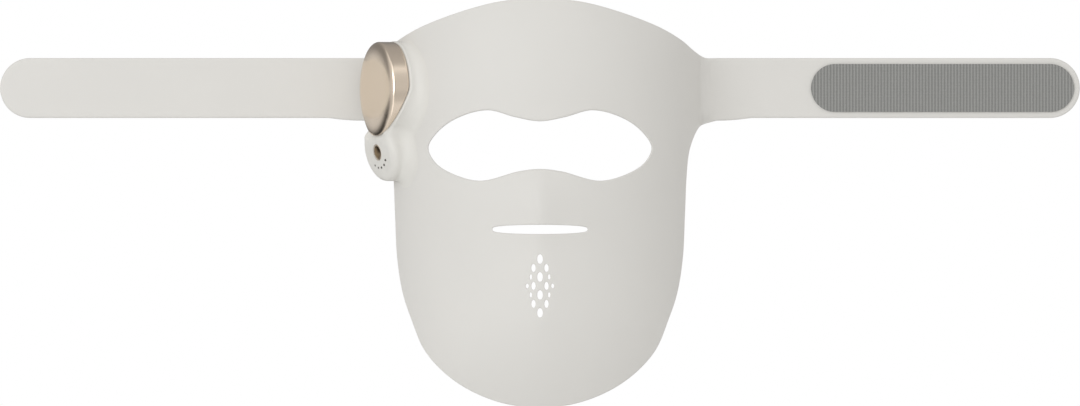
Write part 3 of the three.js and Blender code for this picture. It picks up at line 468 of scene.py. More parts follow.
def carve(piece, cutter):
    """Exact boolean difference, applied at once; the cutter is removed."""
    modifier = piece.modifiers.new("carve", "BOOLEAN")
    modifier.operation = "DIFFERENCE"
    modifier.solver = "EXACT"
    modifier.object = cutter
    bpy.context.view_layer.update()
    result = bpy.data.meshes.new_from_object(piece.evaluated_get(bpy.context.evaluated_depsgraph_get()))
    piece.modifiers.clear()
    old = piece.data
    piece.data = result
    result.name = piece.name
    bpy.data.meshes.remove(old)
    discard(cutter)


def prism(outline, low=-150.0, high=60.0):
    """Cutter along y between two depths from an outline in (x, z), capped by n-gons."""
    rings = np.stack([np.insert(outline, 1, level, axis=-1) for level in (low, high)])
    piece = closed_grid("cutter", rings, wrap_rows=False)
    seal(piece)
    return piece


def outline_normals(outline):
    """Unit normals in (x, z) that point away from the inside of a closed outline."""
    tangent = np.roll(outline, -1, axis=0) - np.roll(outline, 1, axis=0)
    tangent /= np.linalg.norm(tangent, axis=1, keepdims=True)
    normal = np.stack([tangent[:, 1], -tangent[:, 0]], axis=1)
    outward = np.sum(normal * (outline - outline.mean(axis=0))) > 0
    return normal if outward else -normal


def grown(outline, margin):
    """Outline plus the margin times its normals."""
    return outline + outline_normals(outline) * margin


def full_turn(count):
    """Evenly spaced angles of a whole turn."""
    return np.linspace(0, 2 * np.pi, count, endpoint=False)


def around(angle, radius=1.0):
    """Points (radius cos a, radius sin a)."""
    return np.stack([radius * np.cos(angle), radius * np.sin(angle)], axis=-1)


def slit_outline(count=110):
    """Lens x = L cos a, z = H sin(a)^0.6 at even spacing."""
    angle = np.linspace(0, np.pi, 600)
    upper = np.stack([SLIT_HALF_LENGTH * np.cos(angle), SLIT_HALF_HEIGHT * np.sin(angle) ** 0.6], axis=1)
    lower = upper[1:-1][::-1] * [1, -1]
    return even_spacing(np.concatenate([upper, lower]), count) + [0, SLIT_HEIGHT_AT]


def oval(x, z, width, height, count=28):
    """Ellipse: x plus half the width times cos a, z plus half the height times sin a."""
    return around(full_turn(count)) * [width / 2, height / 2] + [x, z]


def vent_outlines():
    """Ovals in upright columns, each column centred on the cluster."""
    vents = []
    for offset, width, height, count in VENT_COLUMNS:
        for side in (-1, 1) if offset else (1,):
            for row in range(count):
                z = VENT_CENTRE + (row - (count - 1) / 2) * VENT_ROW_PITCH
                vents.append(oval(side * offset, z, width, height))
    return vents


def cluster_outline(margin, count=64):
    """Oval round the whole cluster. Half its width is the reach of the outer column and a quarter of the widest
    vent, as in the solids, half its height is that of the middle column, and the margin is added to both."""
    half_wide = VENT_COLUMNS[-1][0] + VENT_COLUMNS[0][1] / 4 + margin
    half_tall = (VENT_COLUMNS[0][3] - 1) / 2 * VENT_ROW_PITCH + VENT_COLUMNS[0][2] / 2 + margin
    return oval(0, VENT_CENTRE, 2 * half_wide, 2 * half_tall, count)


def tube_on_skin(name, outline, section):
    """Closed tube round an outline; its section gives (offset away from the hole, depth below the skin)."""
    section = np.asarray(section, float)
    flat = outline[:, None, :] + outline_normals(outline)[:, None, :] * section[None, :, :1]
    return closed_grid(name, skin_point(flat[..., 0], flat[..., 1], section[:, 1], 1.0))


def arc(centre, radius, start, end, steps):
    """Points of an arc in the section plane, first point left out."""
    return [tuple(point) for point in around(np.radians(quarter(steps, start, end)), radius) + centre]


def rounded_wall(lip, steps):
    """Section of a wall of the rim's depth from its outer to its inner lip, both rounded."""
    return ([(lip, 0.0)] + arc((lip, lip), lip, -90, -180, steps)
            + arc((lip, RIM_DEPTH - lip), lip, 180, 90, steps))


def follow_skin_normals(mesh):
    """Gives every corner of a face that lies wholly on the outer skin the exact normal of the formula."""
    points = np.empty(len(mesh.vertices) * 3, np.float32)
    mesh.vertices.foreach_get("co", points)
    points = points.reshape(-1, 3).astype(float) / MM
    normal = -skin_normal(points[:, 0], points[:, 2])
    gap = np.abs(points[:, 1] - skin_depth(points[:, 0], points[:, 2])) * np.abs(normal[:, 1])
    corner = np.empty(len(mesh.loops), np.int32)
    mesh.loops.foreach_get("vertex_index", corner)
    start, total = np.empty((2, len(mesh.polygons)), np.int32)
    mesh.polygons.foreach_get("loop_start", start)
    mesh.polygons.foreach_get("loop_total", total)
    whole = np.minimum.reduceat((gap < ON_SKIN)[corner].astype(int), start) > 0
    use = np.repeat(whole, total)
    custom = np.zeros((len(corner), 3), np.float32)
    custom[use] = normal[corner[use]]
    mesh.normals_split_custom_set(custom.tolist())


# Mask

def mask_shell():
    """Tray swept round the eye opening: outer skin, rounded rims, shoulder onto the strap stubs, pocket behind.
    The outer rim is rounded square to the outline, the rest is laid along the columns."""
    c = mask_columns()
    inner, body, on_strap = (c[key][:, None] for key in ("inner", "body", "on_strap"))
    cos, sin = np.cos(c["angle"])[:, None], np.sin(c["angle"])[:, None]
    lip_in = LIP * c["inner_share"][:, None]
    edge_depth = RIM_DEPTH + (STRAP_THICKNESS - RIM_DEPTH) * on_strap
    far, near = body - RIM_WIDTH, inner + RIM_WIDTH
    turn = quarter(6, 0, np.pi / 2)
    sine, cosine = np.sin(turn), np.cos(turn)
    edge_x, edge_z = c["outline"][:, :1], c["outline"][:, 1:]
    normal = outline_normals(c["outline"])
    slope_x, slope_z = skin_slopes(edge_x, edge_z)
    width = LIP / np.sqrt(1 + (slope_x * normal[:, :1] + slope_z * normal[:, 1:]) ** 2)
    across_x, across_z = normal[:, :1] * width, normal[:, 1:] * width
    lip_x, lip_z = edge_x - across_x, edge_z - across_z
    start_x, start_z = (inner + lip_in) * cos, (inner + lip_in) * sin
    fall = LIP * (1 - cosine)

    def along(distance, depth):
        """Points at a distance along the columns."""
        return distance * cos, distance * sin, depth

    def rim(sine, depth):
        """Points of the outer rim: the start of its lip at sine 0, the outline at sine 1."""
        return edge_x - across_x * (1 - sine), edge_z - across_z * (1 - sine), depth

    out = np.linspace(0, 1, 60) ** 1.12
    back = 1 - (1 - np.linspace(0, 1, 16)[1:]) ** 1.8
    behind_x = lip_x + ((far + STEP) * cos - lip_x) * back
    behind_z = lip_z + ((far + STEP) * sin - lip_z) * back
    shoulder = LIP + ROOT_FILLET * on_strap
    rise = 1 - smooth_between(0, 1, (np.hypot(behind_x, behind_z) - far) / shoulder)
    points = joined(len(inner), [
        (start_x + (lip_x - start_x) * out, start_z + (lip_z - start_z) * out, 0.0),
        rim(sine, fall),
        rim(1.0, edge_depth - LIP),
        rim(sine[-2::-1], edge_depth - fall[-2::-1]),
        rim(0.0, edge_depth),
        (behind_x, behind_z, edge_depth + (RIM_DEPTH - edge_depth) * rise),
        along(far, RIM_DEPTH - STEP),
        along(near + (far - near) * np.linspace(1, 0, 18) ** 1.2, SHELL_WALL),
        along(near, RIM_DEPTH - STEP),
        along(near - STEP, RIM_DEPTH),
        along(inner + lip_in, RIM_DEPTH),
        along(inner + lip_in * (1 - sine), RIM_DEPTH - fall),
        along(inner, LIP),
        along(inner + lip_in * (1 - cosine[:-1]), LIP * (1 - sine[:-1])),
    ])
    return closed_grid("mask_skin", swept_grid(c, points[..., 0], points[..., 1], points[..., 2]))


def cut_stub(piece, side):
    """Cuts the piece flat where the strap grows on, and closes the cut."""
    def change(bm):
        bmesh.ops.bisect_plane(bm, geom=bm.verts[:] + bm.edges[:] + bm.faces[:], dist=0,
                               plane_co=(side * STRAP_REACH * MM, 0, 0), plane_no=(side, 0, 0), clear_outer=True)
        close_holes(bm)
    edit_mesh(piece, change)


def vent_plug():
    """Raised oval on the inside of the shell that carries the vents, cut through by them."""
    outline = cluster_outline(COLLAR_WIDTH)
    centre = outline.mean(axis=0)
    edges = [(0, TUBE_START), (0, RIM_DEPTH - 0.7), (-0.2, RIM_DEPTH - 0.2), (-0.7, RIM_DEPTH)]
    rows = [(grown(outline, offset), depth) for offset, depth in edges]
    rows += [(centre + (rows[-1][0] - centre) * share, RIM_DEPTH) for share in (0.8, 0.6, 0.4, 0.2, 0.02)]
    rows += [(centre + (outline - centre) * share, TUBE_START) for share in (0.02, 0.5)]
    grid = [skin_point(flat[:, 0], flat[:, 1], depth, 1.0) for flat, depth in rows]
    return closed_grid("vent_plug", np.stack(grid))


def build_mask_skin():
    """Shell with its slit, vents and collars as one piece that stands for the outer shell."""
    skin = mask_shell()
    for side in (-1, 1):
        cut_stub(skin, side)
    vents = vent_outlines()
    plug = vent_plug()
    carve(skin, join_into(prism(grown(slit_outline(), SLIT_LIP)),
                          *[prism(grown(outline, VENT_LIP)) for outline in vents]))
    carve(plug, join_into(*[prism(grown(outline, VENT_LIP)) for outline in vents]))
    collar = rounded_wall(SLIT_LIP, 5) + arc((COLLAR_WIDTH - SLIT_LIP, RIM_DEPTH - SLIT_LIP), SLIT_LIP, 90, 0, 4)
    collar += [(COLLAR_WIDTH, TUBE_START), (SLIT_LIP, TUBE_START)]
    tube = rounded_wall(VENT_LIP, 3) + [(VENT_LIP, TUBE_START)]
    join_into(skin, plug, tube_on_skin("slit_collar", slit_outline(), collar),
              *[tube_on_skin(f"vent_{index}", outline, tube) for index, outline in enumerate(vents)])
    shade(skin)
    follow_skin_normals(skin.data)
    dress(skin, "ivory silicone", "mask_outer_shell")


# Straps

def strap_lower_edge(x):
    """Lower edge of a strap: a parabola at the root, then level."""
    share = np.clip((x - STRAP_REACH - STEP) / FLARE_LENGTH, 0, 1)
    return STRAP_BOTTOM - ROOT_FLARE + ROOT_FLARE * share ** 2


def strap_section():
    """Half of a strap's section as (inset from the edge, y): front face, rounded edge, back face."""
    insets = [STRAP_HALF, 14.0, 10.0, 6.0, 3.0]
    front = [(inset, 0.0) for inset in insets + [LIP]]
    edge = arc((LIP, LIP), LIP, -90, -180, 5) + arc((LIP, STRAP_THICKNESS - LIP), LIP, 180, 90, 5)
    return np.array(front + edge + [(inset, STRAP_THICKNESS) for inset in insets[::-1]])


def strap_stations(start, end, fold, reach=9.0):
    """Stations along a strap, finely spaced round its fold."""
    coarse = np.arange(start, end, COARSE_STATION)
    coarse = coarse[np.abs(coarse - fold) > reach]
    fine = np.arange(fold - reach, fold + reach, FINE_STATION)
    return np.unique(np.concatenate([[start], coarse, fine[(fine > start) & (fine < end)], [end]]))


def finish_strap(piece, solid):
    """Welds and caps a strap length, shades it, bakes its placement into the mesh and gives it its finish."""
    weld(piece)
    seal(piece)
    shade(piece)
    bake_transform(piece)
    dress(piece, "ivory silicone", solid, body=None)


def build_strap_root(side, name, solid):
    """First strap length, from the mask's stub outward; its lower edge flares at the root, and its stations crowd
    round the root.
    """
    section = strap_section()
    x = strap_stations(STRAP_REACH, STRAP_JOIN, STRAP_REACH + ROOT_BEND_MIDDLE)[:, None]
    low = strap_lower_edge(x)
    middle = (low + STRAP_TOP) / 2
    share = np.maximum(section[:, 0] - LIP, 0) / (STRAP_HALF - LIP)
    inset = np.minimum(section[:, 0], LIP)
    z_low = low + inset + share * (middle - low - LIP)
    z_high = STRAP_TOP - inset - share * (STRAP_TOP - middle - LIP)
    z = np.concatenate([z_low, z_high[:, ::-1]], axis=1)
    y = np.concatenate([section[:, 1], section[::-1, 1]])
    piece = closed_grid(name, np.stack(np.broadcast_arrays(side * x, y, z), axis=-1), wrap_rows=False)
    finish_strap(piece, solid)


def build_strap_tail(side, name, fold, solid):
    """Rest of a strap: level edges, half-round end, stations that crowd round the fold place; insets shrink onto the
    centre line.
    """
    inset, depth = strap_section().T
    centre = np.array([STRAP_END - STRAP_HALF, STRAP_MIDDLE])
    x = strap_stations(STRAP_JOIN, centre[0], fold)[:, None]
    low = np.stack(np.broadcast_arrays(x, STRAP_BOTTOM + inset), axis=-1)
    end = centre + around(quarter(36, -np.pi / 2, np.pi / 2)[:-1, None], STRAP_HALF - inset)
    top = low[::-1] * [1, -1] + [0, 2 * STRAP_MIDDLE]
    flat = np.concatenate([low, end, top]) * [side, 1]
    piece = closed_grid(name, np.insert(flat, 1, depth, axis=-1), wrap_rows=False, wrap_columns=False)
    finish_strap(piece, solid)


def build_tape_pad(name, side, base, front):
    """Tape with round ends: a closed outline whose insets shrink onto the centre line, edges eased."""
    far = STRAP_END - PAD_END_MARGIN - PAD_RADIUS
    near = STRAP_END - PAD_END_MARGIN - PAD_LENGTH + PAD_RADIUS
    ease = math.copysign(TAPE_EASE, front - base)
    section = [(PAD_RADIUS, base), (0.0, base)]
    section += [(TAPE_EASE * (1 - math.cos(a)), front - ease * (1 - math.sin(a)))
                for a in np.radians([0, 30, 60, 90])]
    inset, depth = np.array(section + [(inset, front) for inset in (1.5, 4.0, 8.0, PAD_RADIUS)]).T
    low = np.stack(np.broadcast_arrays(np.arange(near, far, TAPE_STATION)[:, None], inset - PAD_RADIUS), axis=-1)
    end = around(quarter(30, -np.pi / 2, np.pi / 2)[:, None], PAD_RADIUS - inset) + [far, 0]
    half = np.concatenate([low, end])
    flat = np.concatenate([half, [near + far, 0] - half]) * [side, 1] + [0, STRAP_MIDDLE]
    piece = weld(closed_grid(name, np.insert(flat, 1, depth, axis=-1), wrap_columns=False))
    shade(piece)
    return piece


def build_straps():
    """Both straps with their tapes."""
    for word, side, fold in (("right", 1, RIGHT_FOLD), ("left", -1, LEFT_FOLD)):
        build_strap_root(side, f"{word}_strap_root", f"{word}_strap_inner")
        build_strap_tail(side, f"{word}_strap_end", fold, f"{word}_strap_tail")
    hook = build_tape_pad("hook_tape", 1, 0.0, -TAPE_RISE)
    dress(hook, "grey hook tape", "hook_pad", "right_tail")
    loop = build_tape_pad("loop_tape", -1, STRAP_THICKNESS, STRAP_THICKNESS + TAPE_RISE)
    dress(loop, "pale loop tape", "loop_pad", "left_tail")


# Inner layers

def layer_ring(name, columns, inset, top, bottom, ease, rows):
    """Layer of even thickness swept round the eye opening between two depths, with eased edges."""
    inner, body = columns["inner"][:, None], columns["body"][:, None]
    near, far = inner + RIM_WIDTH + inset, body - RIM_WIDTH - inset
    across = near + ease + (far - near - 2 * ease) * np.linspace(0, 1, rows) ** 1.15
    points = joined(len(inner), [(across, top), (far, top + ease), (far, bottom - ease),
                                 (across[:, ::-1], bottom), (near, bottom - ease), (near, top + ease)])
    piece = closed_grid(name, swept_ring(columns, points[..., 0], points[..., 1]))
    margin = COLLAR_WIDTH + LAYER_GAP
    carve(piece, join_into(prism(grown(slit_outline(), margin)), prism(cluster_outline(margin))))
    shade(piece)
    return piece


def diode_places():
    """Staggered rows, evenly spaced along the cross-section, clear of the edges and windows."""
    row, step = (a.ravel() for a in np.meshgrid(np.arange(-9, 10), np.arange(-8, 9), indexing="ij"))
    sizes = bpy.context.scene.face_mask_sizes
    along = (step + np.where(row % 2 == 0, 0, 0.5)) * sizes.diode_pitch / MM
    length = np.abs(along)
    round_length = FRONT_RADIUS * FLANK_ANGLE
    x = np.where(length <= round_length, FRONT_RADIUS * np.sin(length / FRONT_RADIUS),
                 FLANK_START + (length - round_length) * math.cos(FLANK_ANGLE)) * np.sign(along)
    z = row * sizes.diode_row_pitch / MM
    angle, reach = np.arctan2(z, x), np.hypot(x, z)
    fits = reach > eye_radius(angle) + RIM_WIDTH + DIODE_MARGIN
    fits &= reach < body_radius(angle) - RIM_WIDTH - DIODE_MARGIN * math.cos(FLANK_ANGLE)
    margin = COLLAR_WIDTH + DIODE_MARGIN
    for wide, tall, height in ((SLIT_HALF_LENGTH, SLIT_HALF_HEIGHT, SLIT_HEIGHT_AT),
                               (VENT_ROW_PITCH, 2 * VENT_ROW_PITCH, VENT_CENTRE)):
        fits &= ~((np.abs(x) < wide + margin) & (np.abs(z - height) < tall + margin))
    return x[fits], z[fits]


def lens_chip():
    """Rounded package 3.2 x 2.8 with a domed lens, as (across, up, inward) points of one closed grid."""
    circle = around(full_turn(16))
    square = np.sign(circle) * np.abs(circle) ** 0.4 * [1.6, 1.4]
    rings = [(square * 0.02, -0.3), (square, -0.3), (square, 0.2), (square * 0.94, 0.26),
             (circle * 1.15, 0.26), (circle * 1.05, 0.4), (circle * 0.7, 0.55), (circle * 0.02, 0.62)]
    return np.stack([np.insert(flat, 2, height, axis=-1) for flat, height in rings])


def build_diodes():
    """One chip at every place of the array, turned square to the skin."""
    x, z = diode_places()
    inward = skin_normal(x, z)
    up = np.array([0.0, 0.0, 1.0]) - inward * inward[:, 2:]
    up /= np.linalg.norm(up, axis=1, keepdims=True)
    lean = straight_share(np.hypot(x, z) - eye_radius(np.arctan2(z, x)))
    centre = skin_point(x, z, np.full_like(x, BOARD_BACK), lean)
    chip = lens_chip()
    flat = chip.reshape(-1, 3)
    basis = np.stack([np.cross(up, inward), up, inward], axis=1)
    vertices = (np.einsum("vk,nkc->nvc", flat, basis) + centre[:, None, :]).reshape(-1, 3)
    one = grid_faces(*chip.shape[:2], False, True)
    quads = (one[None] + (np.arange(len(x)) * len(flat))[:, None, None]).reshape(-1, 4)
    piece = mesh_from("light_diodes", vertices, quads)
    seal(piece)
    shade(piece, 30)
    dress(piece, "diode lens")


def build_inner_layers():
    """Liner, board and diodes, from the face outward."""
    columns = mask_columns()
    liner = layer_ring("liner_skin", columns, 0.3, RIM_DEPTH - 2.0, RIM_DEPTH, 0.4, 40)
    dress(liner, "clear silicone", "inner_liner")
    board = layer_ring("diode_board", columns, 1.6, SHELL_WALL + LAYER_GAP, BOARD_BACK, 0.1, 30)
    dress(board, "white board", "led_flex_board")
    build_diodes()


# Control unit and its base

UNIT_RADIUS = 28.0
UNIT_DEPTH = 12.0
UNIT_FOOT_DEPTH = 1.8
UNIT_SHOULDER = 2.6
UNIT_WALL = 1.6
UNIT_STAND_OFF = 15.4
UNIT_GAP = 0.4
UNIT_SEAT_ON_FLANK = 0.65
UNIT_DROP = 0.9
BASE_RADIUS = UNIT_RADIUS + 0.45
LOBE_RADIUS = 17.0
LOBE_DROP = UNIT_RADIUS + 10.0
LOBE_LEVEL = 2.3
LOBE_TILT = math.radians(7)
LOBE_LEAN = math.radians(10)
LOBE_NECK = 9.0
LOBE_WALL = 2.0
LOBE_STEP = UNIT_RADIUS + 1.4
WEDGE = (UNIT_DEPTH - UNIT_FOOT_DEPTH) / UNIT_RADIUS
ROUND = np.radians([30, 60, 90])

# Openings of the base: (radius, w) profiles, the places of the magnets and lights, the plate's corners and floor
LOBE_POCKET = [(0, -60.0), (13.5, -60.0), (13.5, -6.5), (7.5, -LOBE_WALL), (0, -LOBE_WALL)]
BUTTON_BORE = [(0, -6.0), (5.0, -6.0), (5.0, 3.0), (0, 3.0)]
LIGHT_HOLE = [(0, -6.0), (0.69, -6.0), (0.69, 3.0), (0, 3.0)]
LIGHT_RING = 9.4
LIGHT_ANGLES = np.radians(-124 + 23.5 * np.arange(5))
MAGNET_POCKET = [(0, -14.5), (4.3, -14.5), (4.3, 0), (0, 0)]
MAGNET_OFFSET, MAGNET_HEIGHT = 19.5, 4.2
PLATE_CORNERS = np.array([(-7.3, 0.5), (7.3, 0.5), (7.3, 6.9), (-7.3, 6.9)])
PLATE_FLOOR = -13.9

FORWARD = np.array([math.cos(FLANK_ANGLE), -math.sin(FLANK_ANGLE), 0.0])
OUTWARD = np.array([-math.sin(FLANK_ANGLE), -math.cos(FLANK_ANGLE), 0.0])
UPWARD = np.array([0.0, 0.0, 1.0])
FACE_HEIGHT = STRAP_MIDDLE - UNIT_DROP
SEAT_X = -(FLANK_START + UNIT_SEAT_ON_FLANK)
SEAT = np.array([SEAT_X, float(skin_depth(np.array(SEAT_X), np.array(FACE_HEIGHT))), FACE_HEIGHT])
FACE_CENTRE = SEAT + UNIT_STAND_OFF * OUTWARD


def unit_to_mask(points):
    """Points (u forward, v up, w outward) of the control unit's frame in the mask's frame."""
    return FACE_CENTRE + points[..., :1] * FORWARD + points[..., 1:2] * UPWARD + points[..., 2:] * OUTWARD


def lobe_to_unit(points):
    """Points of the lobe's frame in the control unit's frame: a turn about u, one about v, then a shift."""
    u, v, w = points[..., 0], points[..., 1], points[..., 2]
    v, w = v * math.cos(LOBE_LEAN) - w * math.sin(LOBE_LEAN), v * math.sin(LOBE_LEAN) + w * math.cos(LOBE_LEAN)
    cosine, sine = math.cos(LOBE_TILT), math.sin(LOBE_TILT)
    return np.stack([u * cosine + w * sine, v - LOBE_DROP, w * cosine - u * sine - LOBE_LEVEL], axis=-1)


def lobe_to_mask(points):
    """Points of the lobe's frame in the mask's frame."""
    return unit_to_mask(lobe_to_unit(points))


def rear_line(v, blend=1.6):
    """Level above the middle, rising evenly below it; the bend is a soft maximum."""
    return -UNIT_DEPTH + WEDGE * (np.sqrt(v ** 2 + blend ** 2) - v - blend * 0.2) / 2


def turned(name, angle, radius, height, to_mask):
    """Body turned about the w axis from (angle, point) arrays of radius and w, points at the axis merged."""
    grid = np.insert(around(angle, radius), 2, height, axis=-1)
    return weld(closed_grid(name, to_mask(grid), wrap_columns=False), 0.001)


def lathe(name, profile, sides, to_mask):
    """Profile of (radius, w) pairs, the same all round."""
    return turned(name, full_turn(sides)[:, None], *np.array(profile, float).T, to_mask)


def build_unit_housing():
    """Turned cup: level face, rim that follows a superellipse and grows shallow with the wall, wedge-shaped rear."""
    angle = full_turn(192)[:, None]
    sizes = bpy.context.scene.face_mask_sizes
    rear = rear_line(UNIT_RADIUS * np.sin(angle))
    width = sizes.unit_rim_width / MM
    drop = np.minimum(sizes.unit_rim_depth / MM, -0.72 * rear)
    flat, inner = UNIT_RADIUS - width, UNIT_RADIUS - UNIT_WALL
    ease, power = 0.45, 1 / 1.2
    turn = np.linspace(0.06, np.pi / 2, 24)
    points = joined(len(angle), [
        ([0, 5, 10, 15, flat - 0.5], [-0.1, -0.1, -0.1, -0.09, -0.04]),
        (flat + width * np.sin(turn) ** power, drop * (np.cos(turn) ** power - 1)),
        (UNIT_RADIUS, -drop + (rear + ease + drop) * np.linspace(0, 1, 9)[1:]),
        (UNIT_RADIUS - ease + ease * np.cos(ROUND), rear + ease - ease * np.sin(ROUND)),
        (inner + 0.3, rear), (inner, rear + 0.3), (inner, -UNIT_WALL - UNIT_SHOULDER),
        (inner - UNIT_SHOULDER, -UNIT_WALL), (0, -UNIT_WALL),
    ])
    piece = turned("unit_cup", angle, points[..., 0], points[..., 1], unit_to_mask)
    shade(piece, 30)
    dress(piece, "champagne metal", "unit_housing", "control_unit")


def skin_below(flat):
    """w at which the line through (u, v) meets the outer skin, halving the interval 44 times."""
    low, high = np.full(len(flat), -75.0), np.full(len(flat), 12.0)
    for _ in range(44):
        middle = (low + high) / 2
        point = unit_to_mask(np.insert(flat, 2, middle, axis=-1))
        outside = point[..., 1] < skin_depth(point[..., 0], point[..., 2])
        high = np.where(outside, middle, high)
        low = np.where(outside, low, middle)
    return (low + high) / 2


def base_outline():
    """Ring and lobe with a rounded neck between, and the spine point that every outline point shrinks to."""
    ring_reach, lobe_reach = BASE_RADIUS + LOBE_NECK, LOBE_RADIUS + LOBE_NECK
    drop = (LOBE_DROP ** 2 + ring_reach ** 2 - lobe_reach ** 2) / (2 * LOBE_DROP)
    side = math.sqrt(ring_reach ** 2 - drop ** 2)
    from_ring, from_lobe = math.atan2(drop, side), math.atan2(LOBE_DROP - drop, side)
    ring = around(np.linspace(np.pi / 2, -from_ring, 90), BASE_RADIUS)
    neck = around(np.linspace(np.pi - from_ring, np.pi + from_lobe, 64)[1:-1], LOBE_NECK) + [side, -drop]
    lobe = around(np.linspace(from_lobe, -np.pi / 2, 70), LOBE_RADIUS) - [0, LOBE_DROP]
    share = np.concatenate([np.zeros(len(ring)), np.linspace(0, 1, len(neck) + 2)[1:-1], np.ones(len(lobe))])
    edge, spine = np.concatenate([ring, neck, lobe]), share[:, None] * [0, -LOBE_DROP]
    return [np.concatenate([half, half[1:-1][::-1] * [-1, 1]]) for half in (edge, spine)]


def base_top(flat):
    """Seat of the unit, and the lobe's tilted face outside a circle round the unit, joined by a soft step."""
    u, v = flat.T
    seat = rear_line(v) - UNIT_GAP
    lobe = -LOBE_LEVEL - u * math.tan(LOBE_TILT) + (v + LOBE_DROP) * math.tan(LOBE_LEAN) / math.cos(LOBE_TILT)
    share = smooth_between(LOBE_STEP - 0.6, LOBE_STEP + 3.6, np.hypot(u, v))
    return seat + (lobe - seat) * share


def build_temple_base():
    """Moulded base: coved foot on the skin, wall, eased edge, seat and lobe face; bored and hollowed afterwards."""
    edge, spine = base_outline()
    normal = outline_normals(edge)
    foot, top = skin_below(edge), base_top(edge)
    wall = top - foot
    place = unit_to_mask(np.insert(edge, 2, foot, axis=-1))
    reach, angle = np.hypot(place[:, 0], place[:, 2]), np.arctan2(place[:, 2], place[:, 0])

    # Shares of every outline point: carried by the mask or a strap, on the forward side, on the lobe
    on_mask = smooth_between(1.0, 8.0, body_radius(angle) - reach)
    on_strap = smooth_between(2.0, 7.0, STRAP_HALF - np.abs(place[:, 2] - STRAP_MIDDLE))
    carried = np.maximum(on_mask, on_strap)
    forward = smooth_between(0.0, 9.0, edge[:, 0])
    lobe = smooth_between(-19.0, -30.0, edge[:, 1])

    # Millimetres: easing of the upper edge, height and reach of the cove at the foot, easing of a free lower edge
    top_ease = np.clip(0.12 * wall, 0.35, 0.8) + 0.9 * forward * (1 - lobe) + (3.0 + 1.8 * forward) * lobe
    cove = np.clip(np.minimum(0.85 * wall - 0.6, wall - top_ease - 0.3), 0.6, 12.0)
    spread_out = np.clip(0.9 * wall, 1.2, 7.0 + 3.0 * forward * smooth_between(-34.0, -44.0, edge[:, 1]))
    low_ease = np.clip(0.3 * wall, 0.3, 1.4)
    rows = []

    def row(flat, level):
        """Adds a row of points at (u, v) and w."""
        rows.append(np.insert(flat, 2, level, axis=-1))

    def ring(offset):
        """Outline plus an offset times its normals."""
        return edge + normal * np.reshape(offset, (-1, 1))

    for a in np.linspace(0, np.pi / 2, 12):
        flat = ring((carried * spread_out - (1 - carried) * low_ease) * (1 - math.sin(a)))
        rise = (carried * cove + (1 - carried) * low_ease) * (1 - math.cos(a))
        row(flat, skin_below(flat) + 0.02 + rise)
    start = rows[-1][:, 2]
    for share in (0.33, 0.66):
        row(edge, start + (top - top_ease - start) * share)
    for a in np.linspace(0, np.pi / 2, 8):
        row(ring(-top_ease * (1 - math.cos(a))), top - top_ease * (1 - math.sin(a)))
    inner = rows[-1][:, :2]
    for share in np.linspace(0, 1, 60)[1:]:
        flat = inner + (spine - inner) * share
        row(flat, base_top(flat) + (top - base_top(inner)) * (1 - share) ** 3)
    start = rows[0][:, :2] - normal * 0.3
    for share in np.linspace(0, 1, 20):
        flat = start + (spine - start) * share
        rows.insert(0, np.insert(flat, 2, skin_below(flat) - 0.12, axis=-1))
    piece = weld(closed_grid("temple_base", unit_to_mask(np.stack(rows)), wrap_rows=False), 0.001)

    cuts = [(LOBE_POCKET, 96, lobe_to_mask, (0, 0)), (BUTTON_BORE, 96, lobe_to_mask, (0, 0))]
    cuts += [(LIGHT_HOLE, 16, lobe_to_mask, place) for place in around(LIGHT_ANGLES, LIGHT_RING)]
    cuts += [(MAGNET_POCKET, 32, unit_to_mask, (side * MAGNET_OFFSET, MAGNET_HEIGHT)) for side in (-1, 1)]
    for profile, sides, to_mask, place in cuts:
        carve(piece, lathe("cutter", profile, sides, lambda p: to_mask(p + [*place, 0])))
    block = np.stack([np.insert(PLATE_CORNERS, 2, level, axis=-1) for level in (PLATE_FLOOR, 0.0)])
    recess = closed_grid("cutter", unit_to_mask(block), wrap_rows=False)
    seal(recess)
    carve(piece, recess)
    shade(piece, 32)
    dress(piece, "ivory plastic", "base_housing")


def build_button():
    """Turned cap in the lobe: dished top with a bright crest, flange and stem below; the dish wears a darker copy of
    the metal, painted shade for the dark reflections in it.
    """
    crest = [(3.9 + 0.8 * math.sin(a), -1.1 + 0.8 * math.cos(a)) for a in np.linspace(0, np.pi / 2, 8)]
    dish = [(r, -0.34 - 1.0 * (1 - (r / DISH_RADIUS) ** 2)) for r in np.linspace(0, DISH_RADIUS, 12)]
    profile = dish + crest + [(4.7, -2.3), (5.8, -2.3), (5.8, -3.2), (2.0, -3.2), (2.0, -4.8), (0, -4.8)]
    piece = lathe("button_cap", profile, 72, lobe_to_mask)
    shade(piece, 40)
    dress(piece, "champagne metal", "power_button", "button")
    piece.data.materials.append(material("champagne metal, dished"))
    centre, top = (lobe_to_mask(np.array([0.0, 0.0, w])) for w in (0.0, 1.0))
    axis = Vector(top - centre)
    for polygon in piece.data.polygons:
        offset = polygon.center / MM - Vector(centre)
        height = offset.dot(axis)
        in_dish = (offset - height * axis).length < DISH_RADIUS + 0.02
        # Faces of the dish take the darker copy of the metal: painted shade
        polygon.material_index = int(height > -1.5 and in_dish)


# Finishes

